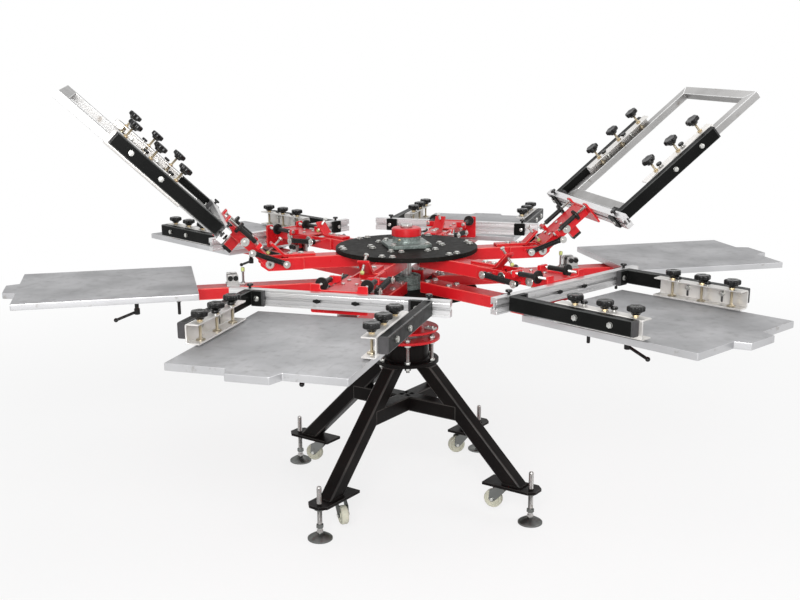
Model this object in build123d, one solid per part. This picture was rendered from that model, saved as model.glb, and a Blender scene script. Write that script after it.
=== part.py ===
from build123d import *
import math
import os

# Rotary screen printing press: six pallets on a lower carousel and six print heads on an upper one.
# Millimetres, +Z up. The origin is on the floor, on the axis of the main shaft.
# A station's own frame has X outward along its arm, Y across it and Z = 0 at the pallets' top face.

# Stations
STATION_NAMES = ["right", "rear_right", "rear_left", "left", "front_left", "front_right"]
STATION_ANGLE = 360 / len(STATION_NAMES)
REST_TILT = {"right": 40.0, "left": 44.0}
FULL_TILT = 42.0
PALLET_TOP = 774.5

# Fits and gaps
RUNNING_FIT = 0.05
BOLT_CLEARANCE = 0.3
FACE_GAP = 0.3
TOUCH_GAP = 0.4

# Pallets
PALLET_WIDTH = 450.0
PALLET_START = 681.0
PALLET_LENGTH = 534.5
PALLET_THICKNESS = 18.3
PALLET_EDGE = 2.0
TAB_LENGTH = 39.1
TAB_ROOT_WIDTH = 138.0
TAB_END_WIDTH = 108.0

# Pallet brackets and pallet arms
BRACKET_THICKNESS = 6.5
BRACKET_WIDTH = 90.0
BRACKET_START = 700.0
BRACKET_END = 1035.0
PALLET_ARM_WIDTH = 62.0
PALLET_ARM_HEIGHT = 37.0
PALLET_ARM_WALL = 3.0
PALLET_ARM_START = 94.0
PALLET_ARM_END = 1050.0
ARM_PLUG_DEPTH = 14.0
DISC_BOLT_RADII = [115.0, 209.0]
DISC_BOLT_HALF_PITCH = 17.0
LOCK_BOSS_X = 865.0
LOCK_BOSS_RADIUS = 9.0
LOCK_BOSS_DROP = 40.0
LOCK_LEVER_REACH = 66.0
LOCK_LEVER_FALL = 24.0
LOCK_LEVER_RADIUS = 4.5
LOCK_GRIP_RADIUS = 7.0
STOP_PIN_X = 735.0
STOP_PIN_RADIUS = 5.0
STOP_PIN_DROP = 48.0

# Registration gates
GATE_X = 565.0
GATE_LENGTH = 40.0
GATE_WIDTH = 60.0
GATE_BASE = 6.0
GATE_FINGER_WIDTH = 14.0
GATE_FINGER_LENGTH = 34.0
GATE_FINGER_TOP = 12.0
GATE_SCREW_Z = 2.0
GATE_SCREW_RADIUS = 5.0
GATE_SCREW_HEAD = 8.0
GATE_SCREW_REACH = 20.0
REST_POST_X = 531.0
REST_POST_RADIUS = 4.0
REST_TIP_RADIUS = 6.0
REST_TIP_HEIGHT = 12.0
REST_FOOT_HALF_WIDTH = 9.0
GATE_PLAY = 1.4

# Discs and hubs
DISC_RADIUS = 229.0
DISC_THICKNESS = 14.5
DISC_EDGE = 1.5
SHAFT_RADIUS = 16.0
SHAFT_TOP = 147.0
SHAFT_NUT_RADIUS = 21.0
SHAFT_NUT_HEIGHT = 12.0
LOWER_CUP_RADIUS = 45.6
LOWER_CUP_TOP = -21.0
LOWER_CUP_DISH = 5.0
LOWER_CUP_RIM = 6.0
LOWER_COLLAR_RADIUS = 60.0
LOWER_COLLAR_TOP = -48.0
HUB_TUBE_RADIUS = 50.0
ROTOR_DISC_RADIUS = 105.0
ROTOR_DISC_TOP = -195.0
ROTOR_DISC_THICKNESS = 8.0
ROTOR_LUG = (34.0, 26.0, 8.0)
SHAFT_COLLAR_RADIUS = 27.0
SHAFT_COLLAR_HEIGHT = 9.0

# Upper bearing housing and cap
FLANGE_SIDE = 142.0
FLANGE_THICKNESS = 12.0
FLANGE_CORNER = 18.0
FLANGE_BOLT_HALF_PITCH = 55.0
HOUSING_RADIUS = 44.0
HOUSING_HEIGHT = 22.0
CAP_RADIUS = 48.0
CAP_HEIGHT = 26.0
CAP_CHAMFER = 5.0

# Pedestal
ROTOR_GAP = 22.0
BEARING_PLATE_RADIUS = 110.0
BEARING_PLATE_THICKNESS = 9.0
THRUST_RING_RADIUS = 52.0
DRUM_RADIUS = 72.0
DRUM_HEIGHT = 66.0
PEDESTAL_FLANGE_RADIUS = 106.0
PEDESTAL_FLANGE_THICKNESS = 12.0
STUD_COUNT = 6
STUD_FIRST_ANGLE = 18.4
STUD_CIRCLE = 93.0
STUD_RADIUS = 6.0
STUD_TAIL = 16.0
STUD_NUT_RADIUS = 10.5
STUD_NUT_HEIGHT = 8.0

# Base frame
LEG_COUNT = 4
LEG_FIRST_ANGLE = 41.8
LEG_TUBE = 48.0
LEG_WALL = 3.0
LEG_TOP_OUTER = 106.0
LEG_FOOT_OUTER = 452.0
BRACE_TUBE = 50.0
BRACE_TOP = 346.5
FOOT_PLATE_TOP = 118.0
FOOT_PLATE_THICKNESS = 10.0
FOOT_PLATE_WIDTH = 77.0
FOOT_PLATE_START = 318.0
FOOT_PLATE_END = 503.0
FOOT_PLATE_CORNER = 20.0

# Levelling feet
LEVELLER_CIRCLE = 475.0
LEVELLER_SCREW_RADIUS = 8.0
LEVELLER_SCREW_TOP = 175.0
LEVELLER_DISC_RADIUS = 39.0
LEVELLER_DISC_RIM = 8.0
LEVELLER_DISC_HEIGHT = 22.0
LEVELLER_NECK_RADIUS = 14.0
LEVELLER_HEX_RADIUS = 12.0
LEVELLER_HEX_BOTTOM = 38.0
LEVELLER_HEX_HEIGHT = 12.0
LEVELLER_NUT_RADIUS = 17.0
LEVELLER_NUT_HEIGHT = 10.0

# Casters
CASTER_CIRCLE = 372.0
CASTER_HEADINGS = [180.0, 145.0, 277.0, 140.0]
CASTER_AXLE_HEIGHT = 56.0
CASTER_TRAIL = 30.0
WHEEL_RADIUS = 30.0
WHEEL_WIDTH = 23.0
WHEEL_HUB_WIDTH = 26.0
WHEEL_HUB_RADIUS = 10.0
WHEEL_EDGE = 5.0
AXLE_RADIUS = 4.0
FORK_WALL = 2.5
FORK_CROWN_RADIUS = 19.0
FORK_CROWN_HEIGHT = 9.0
FORK_CHEEK_WIDTH = 26.0
FORK_EYE_RADIUS = 9.0
KINGPIN_RADIUS = 6.0
KINGPIN_DEPTH = 8.0

# Base arms of the heads
BASE_ARM_WIDTH = 60.0
BASE_ARM_HEIGHT = 40.0
BASE_ARM_WALL = 4.0
BASE_ARM_START = 90.0
BASE_ARM_END = 388.0
PIVOT_X = 449.5
PIVOT_Z = 44.0
PIVOT_RADIUS = 8.0
PIVOT_HEAD_RADIUS = 14.0
PIVOT_HEAD = 3.0
CHEEK_WALL = 6.0
CHEEK_START = 340.0
CHEEK_END = 478.0
CHEEK_CROWN = 15.0
CHEEK_NOSE = (-6.0, 7.0)
CHEEK_CHIN = 24.0
SPACER_RADIUS = 14.0

# Stop brackets
STRAP_THICKNESS = 8.0
STRAP_WIDTH = 36.0
STRAP_START = 300.0
STRAP_BEND = 398.0
STRAP_RISE = 42.0
STRAP_LEAN = 45.0
STRAP_BOLTS = [345.0, 380.0]
STOP_CONTACT = 20.0
STOP_SCREW_RADIUS = 4.0
STOP_SCREW_LENGTH = 52.0
STOP_BUMPER_RADIUS = 6.0
STOP_BUMPER_HEIGHT = 9.0
STOP_NUT_RADIUS = 7.5
STOP_NUT_HEIGHT = 6.0

# Head channels
CHANNEL_WIDTH = 90.0
CHANNEL_WALL = 5.0
CHANNEL_TOP = 60.0
CHANNEL_BOTTOM = 31.0
CHANNEL_REAR = 434.0
CHANNEL_WEB_START = 462.0
CHANNEL_HEEL_RISE = 10.0
CHANNEL_HEEL_SLOPE = 8.0
CHANNEL_KNEE = (16.0, 24.0)
CHANNEL_BOLT_X = [506.0, 556.0]
CHANNEL_BOLT_Y = 20.0
CHANNEL_END = 644.0
FRONT_PLATE_THICKNESS = 6.0
FRONT_PLATE_HALF_WIDTH = 82.0
FRONT_PLATE_BOTTOM = -2.0
FRONT_PLATE_TOP = 62.0
FRONT_TAB_TOP = 78.0
FRONT_TAB_INNER = 54.0
TONGUE_START = 561.0
TONGUE_END = 593.0
TONGUE_HALF_WIDTH = 12.0
TONGUE_BOTTOM = -5.0
TONGUE_SHOE = 11.0
SADDLE_START = 518.0
SADDLE_END = 546.0
WASHER_X = 555.0
WASHER_Z = 45.0
WASHER_RADIUS = 14.0
WASHER_THICKNESS = 3.0

# Springs
SPRING_Y = 66.0
SPRING_HUB_X = 400.0
SPRING_HUB_Z = 46.0
SPRING_HEAD_OFFSET = (70.0, -8.0)
SPRING_PIN_RADIUS = 5.0
SPRING_WASHER_RADIUS = 11.5
SPRING_WASHER_THICKNESS = 2.5
SPRING_COIL_RADIUS = 7.6
SPRING_WIRE_RADIUS = 1.4
SPRING_EYE_RADIUS = 9.5
SPRING_EYE_WIDTH = 10.0
SPRING_PLUG_RADIUS = 9.0
SPRING_PLUG_END = 17.0
SPRING_TURNS = 7.5
SPRING_ENTRY = 8.0

# Micro adjusters
ADJUSTER_Y = 66.0
ADJUSTER_Z = 68.0
ADJUSTER_START = 512.0
ADJUSTER_ROD_RADIUS = 4.0
ADJUSTER_SLEEVE = (534.0, 598.0)
ADJUSTER_SLEEVE_RADIUS = 7.5
ADJUSTER_KNURL = (598.0, 606.0)
ADJUSTER_KNURL_RADIUS = 19.0
ADJUSTER_LUG_LENGTH = 12.0
ADJUSTER_NUT_RADIUS = 7.0
ADJUSTER_NUT_HEIGHT = 5.0

# Crossbars
CROSSBAR_DEPTH = 22.0
CROSSBAR_HALF_LENGTH = 315.0
CROSSBAR_BOTTOM = 12.7
CROSSBAR_HEIGHT = 44.9
SLOT_MOUTH = 8.0
SLOT_WIDTH = 17.0
SLOT_LIP = 2.5
SLOT_DEPTH = 8.5
SLOT_SCREW_Y = 55.0
CLAMP_BLOCK_DEPTH = 13.0
CLAMP_BLOCK_WIDTH = 32.0
CLAMP_PLATE_DEPTH = 6.0
CLAMP_PLATE_WIDTH = 41.0
CLAMP_PLATE_INSET = 15.0
CLAMP_BOLT_RADIUS = 4.0
CLAMP_BOLT_HEAD = 7.0
CLAMP_KNOB_RADIUS = 9.5
CLAMP_KNOB_HEIGHT = 14.0

# Side arms and screen channels
SIDE_ARM_INNER = 243.0
SIDE_ARM_WIDTH = 25.0
SIDE_ARM_HEIGHT = 41.0
SIDE_ARM_BOTTOM = 16.0
SIDE_ARM_WALL = 2.5
SIDE_ARM_END = 1060.0
END_CAP_THICKNESS = 3.0
RAIL_START = 801.0
RAIL_END = 1072.0
RAIL_WALL = 4.0
RAIL_DEPTH = 38.0
RAIL_BOTTOM = 5.0
RAIL_HEIGHT = 52.0
RAIL_BOLTS = [890.0, 997.0]
RAIL_BOLT_HEAD_RADIUS = 8.0
RAIL_BOLT_HEAD = 6.0

# Clamp screws
CLAMP_SCREW_X = [853.0, 945.0, 1036.0]
CLAMP_SCREW_Y = 220.0
CLAMP_SCREW_RADIUS = 4.0
CLAMP_FOOT_RADIUS = 12.0
CLAMP_FOOT_HEIGHT = 5.0
STAR_KNOB_RADIUS = 22.5
STAR_KNOB_HEIGHT = 14.0
STAR_KNOB_NECK = 8.0
STAR_KNOB_SHANK = 47.5
STAR_LOBES = 6
BRASS_NUT_RADIUS = 8.0
BRASS_NUT_HEIGHT = 4.5
SMALL_KNOB_X = [875.0, 967.0]
SMALL_KNOB_Y = 212.0
SMALL_KNOB_RADIUS = 9.5
SMALL_KNOB_HEIGHT = 7.5
SMALL_KNOB_STEM = 4.5

# Screen frames
SCREEN_START = 687.0
SCREEN_END = 1250.0
SCREEN_HALF_WIDTH = 230.0
SCREEN_RAIL = 35.0
SCREEN_HEIGHT = 25.0

# Fasteners
BOLT_RADIUS = 5.0
BOLT_HEAD_RADIUS = 8.5
BOLT_HEAD_HEIGHT = 6.0
SMALL_BOLT_RADIUS = 3.0
SMALL_BOLT_HEAD_RADIUS = 6.0
SMALL_BOLT_HEAD_HEIGHT = 4.0

# Heights that follow from the sizes above, from the pallets' top face
BRACKET_TOP = -PALLET_THICKNESS
PALLET_ARM_TOP = BRACKET_TOP - BRACKET_THICKNESS
PALLET_ARM_BOTTOM = PALLET_ARM_TOP - PALLET_ARM_HEIGHT
LOWER_DISC_BOTTOM = PALLET_ARM_BOTTOM - DISC_THICKNESS
UPPER_DISC_BOTTOM = CHANNEL_TOP
UPPER_DISC_TOP = UPPER_DISC_BOTTOM + DISC_THICKNESS
BASE_ARM_TOP = UPPER_DISC_BOTTOM
BASE_ARM_BOTTOM = BASE_ARM_TOP - BASE_ARM_HEIGHT
FLANGE_TOP = UPPER_DISC_TOP + FLANGE_THICKNESS
HOUSING_TOP = FLANGE_TOP + HOUSING_HEIGHT
CAP_BOTTOM = HOUSING_TOP + FACE_GAP
CAP_TOP = CAP_BOTTOM + CAP_HEIGHT
ROTOR_BOTTOM = ROTOR_DISC_TOP - ROTOR_DISC_THICKNESS
BEARING_PLATE_TOP = ROTOR_BOTTOM - ROTOR_GAP
BEARING_PLATE_BOTTOM = BEARING_PLATE_TOP - BEARING_PLATE_THICKNESS
DRUM_BOTTOM = BEARING_PLATE_BOTTOM - DRUM_HEIGHT
PEDESTAL_BOTTOM = DRUM_BOTTOM - PEDESTAL_FLANGE_THICKNESS
LEG_TOP = PALLET_TOP + PEDESTAL_BOTTOM
FOOT_PLATE_BOTTOM = FOOT_PLATE_TOP - FOOT_PLATE_THICKNESS
CROSSBAR_START = CHANNEL_END + FRONT_PLATE_THICKNESS
CROSSBAR_END = CROSSBAR_START + CROSSBAR_DEPTH
CROSSBAR_TOP = CROSSBAR_BOTTOM + CROSSBAR_HEIGHT
RAIL_TOP = RAIL_BOTTOM + RAIL_HEIGHT
RAIL_FLOOR = RAIL_BOTTOM + RAIL_WALL
SCREEN_TOP = RAIL_FLOOR + SCREEN_HEIGHT
SPRING_PIN_END = SPRING_Y + SPRING_PLUG_RADIUS + FACE_GAP + SPRING_WASHER_THICKNESS


def block(x, y, z):
    """A box between the limits x, y and z."""
    size = Box(x[1] - x[0], y[1] - y[0], z[1] - z[0])
    return Pos((x[0] + x[1]) / 2, (y[0] + y[1]) / 2, (z[0] + z[1]) / 2) * size


def upright(x, y, z, radius):
    """A round bar along Z between the heights z."""
    return Pos(x, y, (z[0] + z[1]) / 2) * Cylinder(radius, z[1] - z[0])


def crosswise(x, y, z, radius):
    """A round bar along Y between the limits y."""
    return Pos(x, (y[0] + y[1]) / 2, z) * Rot(90, 0, 0) * Cylinder(radius, y[1] - y[0])


def lengthwise(x, y, z, radius):
    """A round bar along X between the limits x."""
    return Pos((x[0] + x[1]) / 2, y, z) * Rot(0, 90, 0) * Cylinder(radius, x[1] - x[0])


def hexagon(x, y, z, radius):
    """A hexagonal nut or bolt head along Z between the heights z."""
    return Pos(x, y, z[0]) * extrude(RegularPolygon(radius, 6), z[1] - z[0])


def side_profile(points, y):
    """A plate cut to an outline in the XZ plane, between the limits y."""
    outline = make_face(Polyline(*[(x, 0, z) for x, z in points], close=True))
    return Pos(0, y[0], 0) * extrude(outline, y[1] - y[0], dir=(0, 1, 0))


def plan_profile(points, z):
    """A plate cut to an outline in the XY plane, between the heights z."""
    outline = make_face(Polyline(*[(x, y, 0) for x, y in points], close=True))
    return Pos(0, 0, z[0]) * extrude(outline, z[1] - z[0], dir=(0, 0, 1))


def both_sides(pieces):
    """The pieces of one side of an arm and their mirror images."""
    return pieces + [mirror(piece, Plane.XZ) for piece in pieces]


def round_tube(radius, bore, z):
    """A ring on the main axis between the heights z."""
    return upright(0, 0, z, radius) - upright(0, 0, z, bore)


def at_station(pieces, index):
    """Pieces drawn in a station's own frame, set at the station with this index."""
    place = Pos(0, 0, PALLET_TOP) * Rot(0, 0, index * STATION_ANGLE)
    return [place * piece for piece in pieces]


def on_axis(pieces):
    """Pieces drawn on the main axis with Z = 0 at the pallets' top face, set at their height."""
    return [Pos(0, 0, PALLET_TOP) * piece for piece in pieces]


def tilt_of(name):
    """How far a head is raised at rest, in degrees."""
    return REST_TILT.get(name, 0.0)


def full_tilt_of(name):
    """How far a head can be raised before it meets its stop, in degrees."""
    return REST_TILT.get(name, FULL_TILT)


def tilted(pieces, name):
    """Pieces drawn on a lowered head, turned about the head's pivot to its rest tilt."""
    turn = Pos(PIVOT_X, 0, PIVOT_Z) * Rot(0, -tilt_of(name), 0) * Pos(-PIVOT_X, 0, -PIVOT_Z)
    return [turn * piece for piece in pieces]


def save(name, pieces):
    """Write one node's solids to its own file."""
    solids = [solid for piece in pieces for solid in piece.solids()]
    export_step(Compound(label=name, children=solids), f"parts/{name}.step")


def leg_outline(margin, top, foot):
    """A leg's side outline, drawn in by a margin square to its faces."""
    lean = math.atan2(LEG_FOOT_OUTER - LEG_TOP_OUTER, LEG_TOP - FOOT_PLATE_TOP)
    slope = math.tan(lean)
    inset = margin / math.cos(lean)
    width = LEG_TUBE / math.cos(lean)

    def outer(z):
        return LEG_TOP_OUTER + (LEG_TOP - z) * slope - inset

    def inner(z):
        return outer(z) - width + 2 * inset

    return [(inner(foot), foot), (outer(foot), foot), (outer(top), top), (inner(top), top)]


def make_base_frame():
    """Four raking legs, their cross brace and their foot plates, welded into one."""
    half = LEG_TUBE / 2
    legs = []
    hollows = []
    plates = []
    for index in range(LEG_COUNT):
        turn = Rot(0, 0, LEG_FIRST_ANGLE + index * 360 / LEG_COUNT)
        legs.append(turn * side_profile(leg_outline(0, LEG_TOP, FOOT_PLATE_TOP), (-half, half)))
        hollow = leg_outline(LEG_WALL, LEG_TOP - BRACE_TUBE, FOOT_PLATE_TOP)
        hollows.append(turn * side_profile(hollow, (LEG_WALL - half, half - LEG_WALL)))
        plates.append(turn * make_foot_plate())
    brace_z = (BRACE_TOP - BRACE_TUBE, BRACE_TOP)
    reach = leg_outline(0, BRACE_TOP, brace_z[0])[3][0] + LEG_WALL
    across = (-BRACE_TUBE / 2, BRACE_TUBE / 2)
    first_brace = Rot(0, 0, LEG_FIRST_ANGLE) * block((-reach, reach), across, brace_z)
    second_brace = Rot(0, 0, LEG_FIRST_ANGLE + 90) * block((-reach, reach), across, brace_z)
    frame = legs[0] + legs[1:] - hollows + first_brace + second_brace + plates
    return [frame]


def make_foot_plate():
    """A foot plate with clipped outer corners and holes for its foot and its caster."""
    half = FOOT_PLATE_WIDTH / 2
    clip = FOOT_PLATE_CORNER
    outline = [
        (FOOT_PLATE_START, -half),
        (FOOT_PLATE_END - clip, -half),
        (FOOT_PLATE_END, clip - half),
        (FOOT_PLATE_END, half - clip),
        (FOOT_PLATE_END - clip, half),
        (FOOT_PLATE_START, half),
    ]
    height = (FOOT_PLATE_BOTTOM, FOOT_PLATE_TOP)
    plate = plan_profile(outline, height)
    plate -= upright(LEVELLER_CIRCLE, 0, height, LEVELLER_SCREW_RADIUS + BOLT_CLEARANCE)
    kingpin_z = (FOOT_PLATE_BOTTOM, FOOT_PLATE_BOTTOM + KINGPIN_DEPTH + FACE_GAP)
    plate -= upright(CASTER_CIRCLE, 0, kingpin_z, KINGPIN_RADIUS + RUNNING_FIT)
    return plate


def stud_places():
    """The studs' places on the pedestal flange, as angles."""
    return [STUD_FIRST_ANGLE + index * 360 / STUD_COUNT for index in range(STUD_COUNT)]


def stud_holes(z):
    """Clearance holes for the studs between the heights z."""
    radius = STUD_RADIUS + BOLT_CLEARANCE
    return [Rot(0, 0, angle) * upright(STUD_CIRCLE, 0, z, radius) for angle in stud_places()]


def make_pedestal():
    """The flange on top of the legs and the drum that stands on it."""
    flange_z = (PEDESTAL_BOTTOM, DRUM_BOTTOM)
    flange = upright(0, 0, flange_z, PEDESTAL_FLANGE_RADIUS) - stud_holes(flange_z)
    drum = upright(0, 0, (DRUM_BOTTOM, BEARING_PLATE_BOTTOM), DRUM_RADIUS)
    bore = upright(0, 0, (PEDESTAL_BOTTOM, BEARING_PLATE_BOTTOM), SHAFT_RADIUS + RUNNING_FIT)
    return on_axis([flange + drum - bore])


def make_bearing_plate():
    """The fixed red plate on the drum and the thrust bearing on it."""
    plate_z = (BEARING_PLATE_BOTTOM, BEARING_PLATE_TOP)
    plate = round_tube(BEARING_PLATE_RADIUS, SHAFT_RADIUS + RUNNING_FIT, plate_z) - stud_holes(plate_z)
    ring_z = (BEARING_PLATE_TOP, ROTOR_BOTTOM - FACE_GAP)
    ring = round_tube(THRUST_RING_RADIUS, SHAFT_RADIUS + RUNNING_FIT, ring_z)
    return on_axis([plate, ring])


def over_leg(angle):
    """Whether a stud at this angle has a leg's top right under it."""
    apart = (angle - LEG_FIRST_ANGLE) % (360 / LEG_COUNT)
    nearest = math.radians(min(apart, 360 / LEG_COUNT - apart))
    return STUD_CIRCLE * math.sin(nearest) < LEG_TUBE / 2 + STUD_NUT_RADIUS + FACE_GAP


def make_pedestal_studs():
    """Studs and nuts that tie the bearing plate to the flange, with no tail over a leg."""
    top = BEARING_PLATE_TOP + STUD_TAIL
    upper_nuts = [DRUM_BOTTOM, BEARING_PLATE_BOTTOM - STUD_NUT_HEIGHT, BEARING_PLATE_TOP]
    pieces = []
    for angle in stud_places():
        bottom = PEDESTAL_BOTTOM if over_leg(angle) else PEDESTAL_BOTTOM - STUD_TAIL
        lower_nuts = [] if over_leg(angle) else [PEDESTAL_BOTTOM - STUD_NUT_HEIGHT]
        stud = upright(STUD_CIRCLE, 0, (bottom, top), STUD_RADIUS)
        for z in lower_nuts + upper_nuts:
            stud += hexagon(STUD_CIRCLE, 0, (z, z + STUD_NUT_HEIGHT), STUD_NUT_RADIUS)
        pieces.append(Rot(0, 0, angle) * stud)
    return on_axis(pieces)


def make_main_shaft():
    """The fixed shaft that both carousels turn on, with its collars and its top nut."""
    shaft = upright(0, 0, (PEDESTAL_BOTTOM, SHAFT_TOP), SHAFT_RADIUS)
    shaft += hexagon(0, 0, (CAP_TOP, CAP_TOP + SHAFT_NUT_HEIGHT), SHAFT_NUT_RADIUS)
    collar_top = UPPER_DISC_BOTTOM - FACE_GAP
    shaft += upright(0, 0, (collar_top - SHAFT_COLLAR_HEIGHT, collar_top), SHAFT_COLLAR_RADIUS)
    return on_axis([shaft])


def make_hub_cap():
    """The red cap that the top nut holds on the shaft over the bearing."""
    cap = round_tube(CAP_RADIUS, SHAFT_RADIUS + RUNNING_FIT, (CAP_BOTTOM, CAP_TOP))
    rim = cap.edges().filter_by(GeomType.CIRCLE).group_by(Axis.Z)[-1].sort_by(SortBy.RADIUS)[-1]
    return on_axis([chamfer(rim, CAP_CHAMFER)])


def make_levelling_feet():
    """Four levelling feet, each a domed disc and a screw with its hexagon and jam nut."""
    nut_top = FOOT_PLATE_BOTTOM - FACE_GAP
    outline = [
        (0, 0),
        (LEVELLER_DISC_RADIUS, 0),
        (LEVELLER_DISC_RADIUS, LEVELLER_DISC_RIM),
        (LEVELLER_NECK_RADIUS, LEVELLER_DISC_HEIGHT),
        (0, LEVELLER_DISC_HEIGHT),
    ]
    face = make_face(Polyline(*[(x, 0, z) for x, z in outline], close=True))
    disc = revolve(face, Axis.Z)
    hex_top = LEVELLER_HEX_BOTTOM + LEVELLER_HEX_HEIGHT
    screw = upright(0, 0, (LEVELLER_DISC_HEIGHT, LEVELLER_SCREW_TOP), LEVELLER_SCREW_RADIUS)
    screw += hexagon(0, 0, (LEVELLER_HEX_BOTTOM, hex_top), LEVELLER_HEX_RADIUS)
    nut = hexagon(0, 0, (nut_top - LEVELLER_NUT_HEIGHT, nut_top), LEVELLER_NUT_RADIUS)
    nut -= upright(0, 0, (nut_top - LEVELLER_NUT_HEIGHT, nut_top), LEVELLER_SCREW_RADIUS)
    pieces = []
    for index in range(LEG_COUNT):
        place = Rot(0, 0, LEG_FIRST_ANGLE + index * 360 / LEG_COUNT) * Pos(LEVELLER_CIRCLE, 0, 0)
        pieces += [place * disc, place * screw, place * nut]
    return pieces


def caster_place(index):
    """Where a caster's kingpin stands, turned to the way its wheel trails."""
    angle = math.radians(LEG_FIRST_ANGLE + index * 360 / LEG_COUNT)
    spot = Pos(CASTER_CIRCLE * math.cos(angle), CASTER_CIRCLE * math.sin(angle), 0)
    return spot * Rot(0, 0, CASTER_HEADINGS[index])


def make_caster_fork(index):
    """A caster's swivel fork with its kingpin and its axle."""
    crown_z = (FOOT_PLATE_BOTTOM - FACE_GAP - FORK_CROWN_HEIGHT, FOOT_PLATE_BOTTOM - FACE_GAP)
    crown = upright(0, 0, crown_z, FORK_CROWN_RADIUS)
    crown += upright(0, 0, (crown_z[1], FOOT_PLATE_BOTTOM + KINGPIN_DEPTH), KINGPIN_RADIUS)
    inner = WHEEL_HUB_WIDTH / 2 + FACE_GAP
    half = FORK_CHEEK_WIDTH / 2
    roof_z = (crown_z[0] - FORK_WALL, crown_z[0])
    fork = crown + block((-half, half), (-inner - FORK_WALL, inner + FORK_WALL), roof_z)
    outline = [
        (-half, roof_z[1]),
        (-half, roof_z[0] - FORK_EYE_RADIUS),
        (CASTER_TRAIL - FORK_EYE_RADIUS, CASTER_AXLE_HEIGHT),
        (CASTER_TRAIL, CASTER_AXLE_HEIGHT - FORK_EYE_RADIUS),
        (CASTER_TRAIL + FORK_EYE_RADIUS, CASTER_AXLE_HEIGHT),
        (half, roof_z[1]),
    ]
    for side in (-1, 1):
        limits = sorted((side * inner, side * (inner + FORK_WALL)))
        fork += side_profile(outline, limits)
    ends = inner + FORK_WALL + SMALL_BOLT_HEAD_HEIGHT
    fork += crosswise(CASTER_TRAIL, (-ends, ends), CASTER_AXLE_HEIGHT, AXLE_RADIUS)
    for side in (-1, 1):
        limits = sorted((side * (inner + FORK_WALL), side * ends))
        fork += crosswise(CASTER_TRAIL, limits, CASTER_AXLE_HEIGHT, SMALL_BOLT_HEAD_RADIUS)
    return [caster_place(index) * fork]


def make_caster_wheel(index):
    """A caster's wheel with rounded shoulders and a hub that stands proud."""
    half = WHEEL_WIDTH / 2
    hub = WHEEL_HUB_WIDTH / 2
    centre = (CASTER_TRAIL, CASTER_AXLE_HEIGHT)
    wheel = crosswise(centre[0], (-half, half), centre[1], WHEEL_RADIUS)
    wheel = fillet(wheel.edges().filter_by(GeomType.CIRCLE), WHEEL_EDGE)
    wheel += crosswise(centre[0], (-hub, hub), centre[1], WHEEL_HUB_RADIUS)
    wheel -= crosswise(centre[0], (-hub, hub), centre[1], AXLE_RADIUS + RUNNING_FIT)
    return [caster_place(index) * wheel]


def disc_bolt_spots():
    """The bolts of one arm on a carousel disc, in the station's frame."""
    return [(x, side * DISC_BOLT_HALF_PITCH) for x in DISC_BOLT_RADII for side in (-1, 1)]


def disc_bolts(seat, bottom):
    """Hexagon bolts of one arm, headed on the seat height and reaching to the bottom height."""
    bolts = []
    for x, y in disc_bolt_spots():
        bolt = hexagon(x, y, (seat, seat + BOLT_HEAD_HEIGHT), BOLT_HEAD_RADIUS)
        bolts.append(bolt + upright(x, y, (bottom, seat), BOLT_RADIUS))
    return bolts


def disc_bolt_holes(z):
    """Clearance holes for the bolts of one arm between the heights z."""
    return [upright(x, y, z, BOLT_RADIUS + BOLT_CLEARANCE) for x, y in disc_bolt_spots()]


def all_disc_bolt_holes(z):
    """The bolt holes of all arms in a carousel disc."""
    holes = []
    for index in range(len(STATION_NAMES)):
        holes += [Rot(0, 0, index * STATION_ANGLE) * hole for hole in disc_bolt_holes(z)]
    return holes


def make_lower_hub():
    """The lower carousel's disc, hub tube, rotor disc with its lug, and bearing cup."""
    fit = SHAFT_RADIUS + RUNNING_FIT
    disc_z = (LOWER_DISC_BOTTOM, PALLET_ARM_BOTTOM)
    disc = round_tube(DISC_RADIUS, fit, disc_z) - all_disc_bolt_holes(disc_z)
    tube = round_tube(HUB_TUBE_RADIUS, fit, (ROTOR_DISC_TOP, LOWER_DISC_BOTTOM))
    rotor = round_tube(ROTOR_DISC_RADIUS, fit, (ROTOR_BOTTOM, ROTOR_DISC_TOP))
    collar = round_tube(LOWER_COLLAR_RADIUS, fit, (PALLET_ARM_BOTTOM, LOWER_COLLAR_TOP))
    cup = round_tube(LOWER_CUP_RADIUS, fit, (LOWER_COLLAR_TOP, LOWER_CUP_TOP))
    dish_z = (LOWER_CUP_TOP - LOWER_CUP_DISH, LOWER_CUP_TOP)
    cup -= round_tube(LOWER_CUP_RADIUS - LOWER_CUP_RIM, fit + LOWER_CUP_RIM, dish_z)
    length, width, height = ROTOR_LUG
    lug_x = (ROTOR_DISC_RADIUS - length, ROTOR_DISC_RADIUS)
    lug_z = (ROTOR_DISC_TOP, ROTOR_DISC_TOP + height)
    lug = Rot(0, 0, STUD_FIRST_ANGLE - STATION_ANGLE) * block(lug_x, (-width / 2, width / 2), lug_z)
    return on_axis([disc + tube + rotor, collar + cup, lug])


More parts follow.
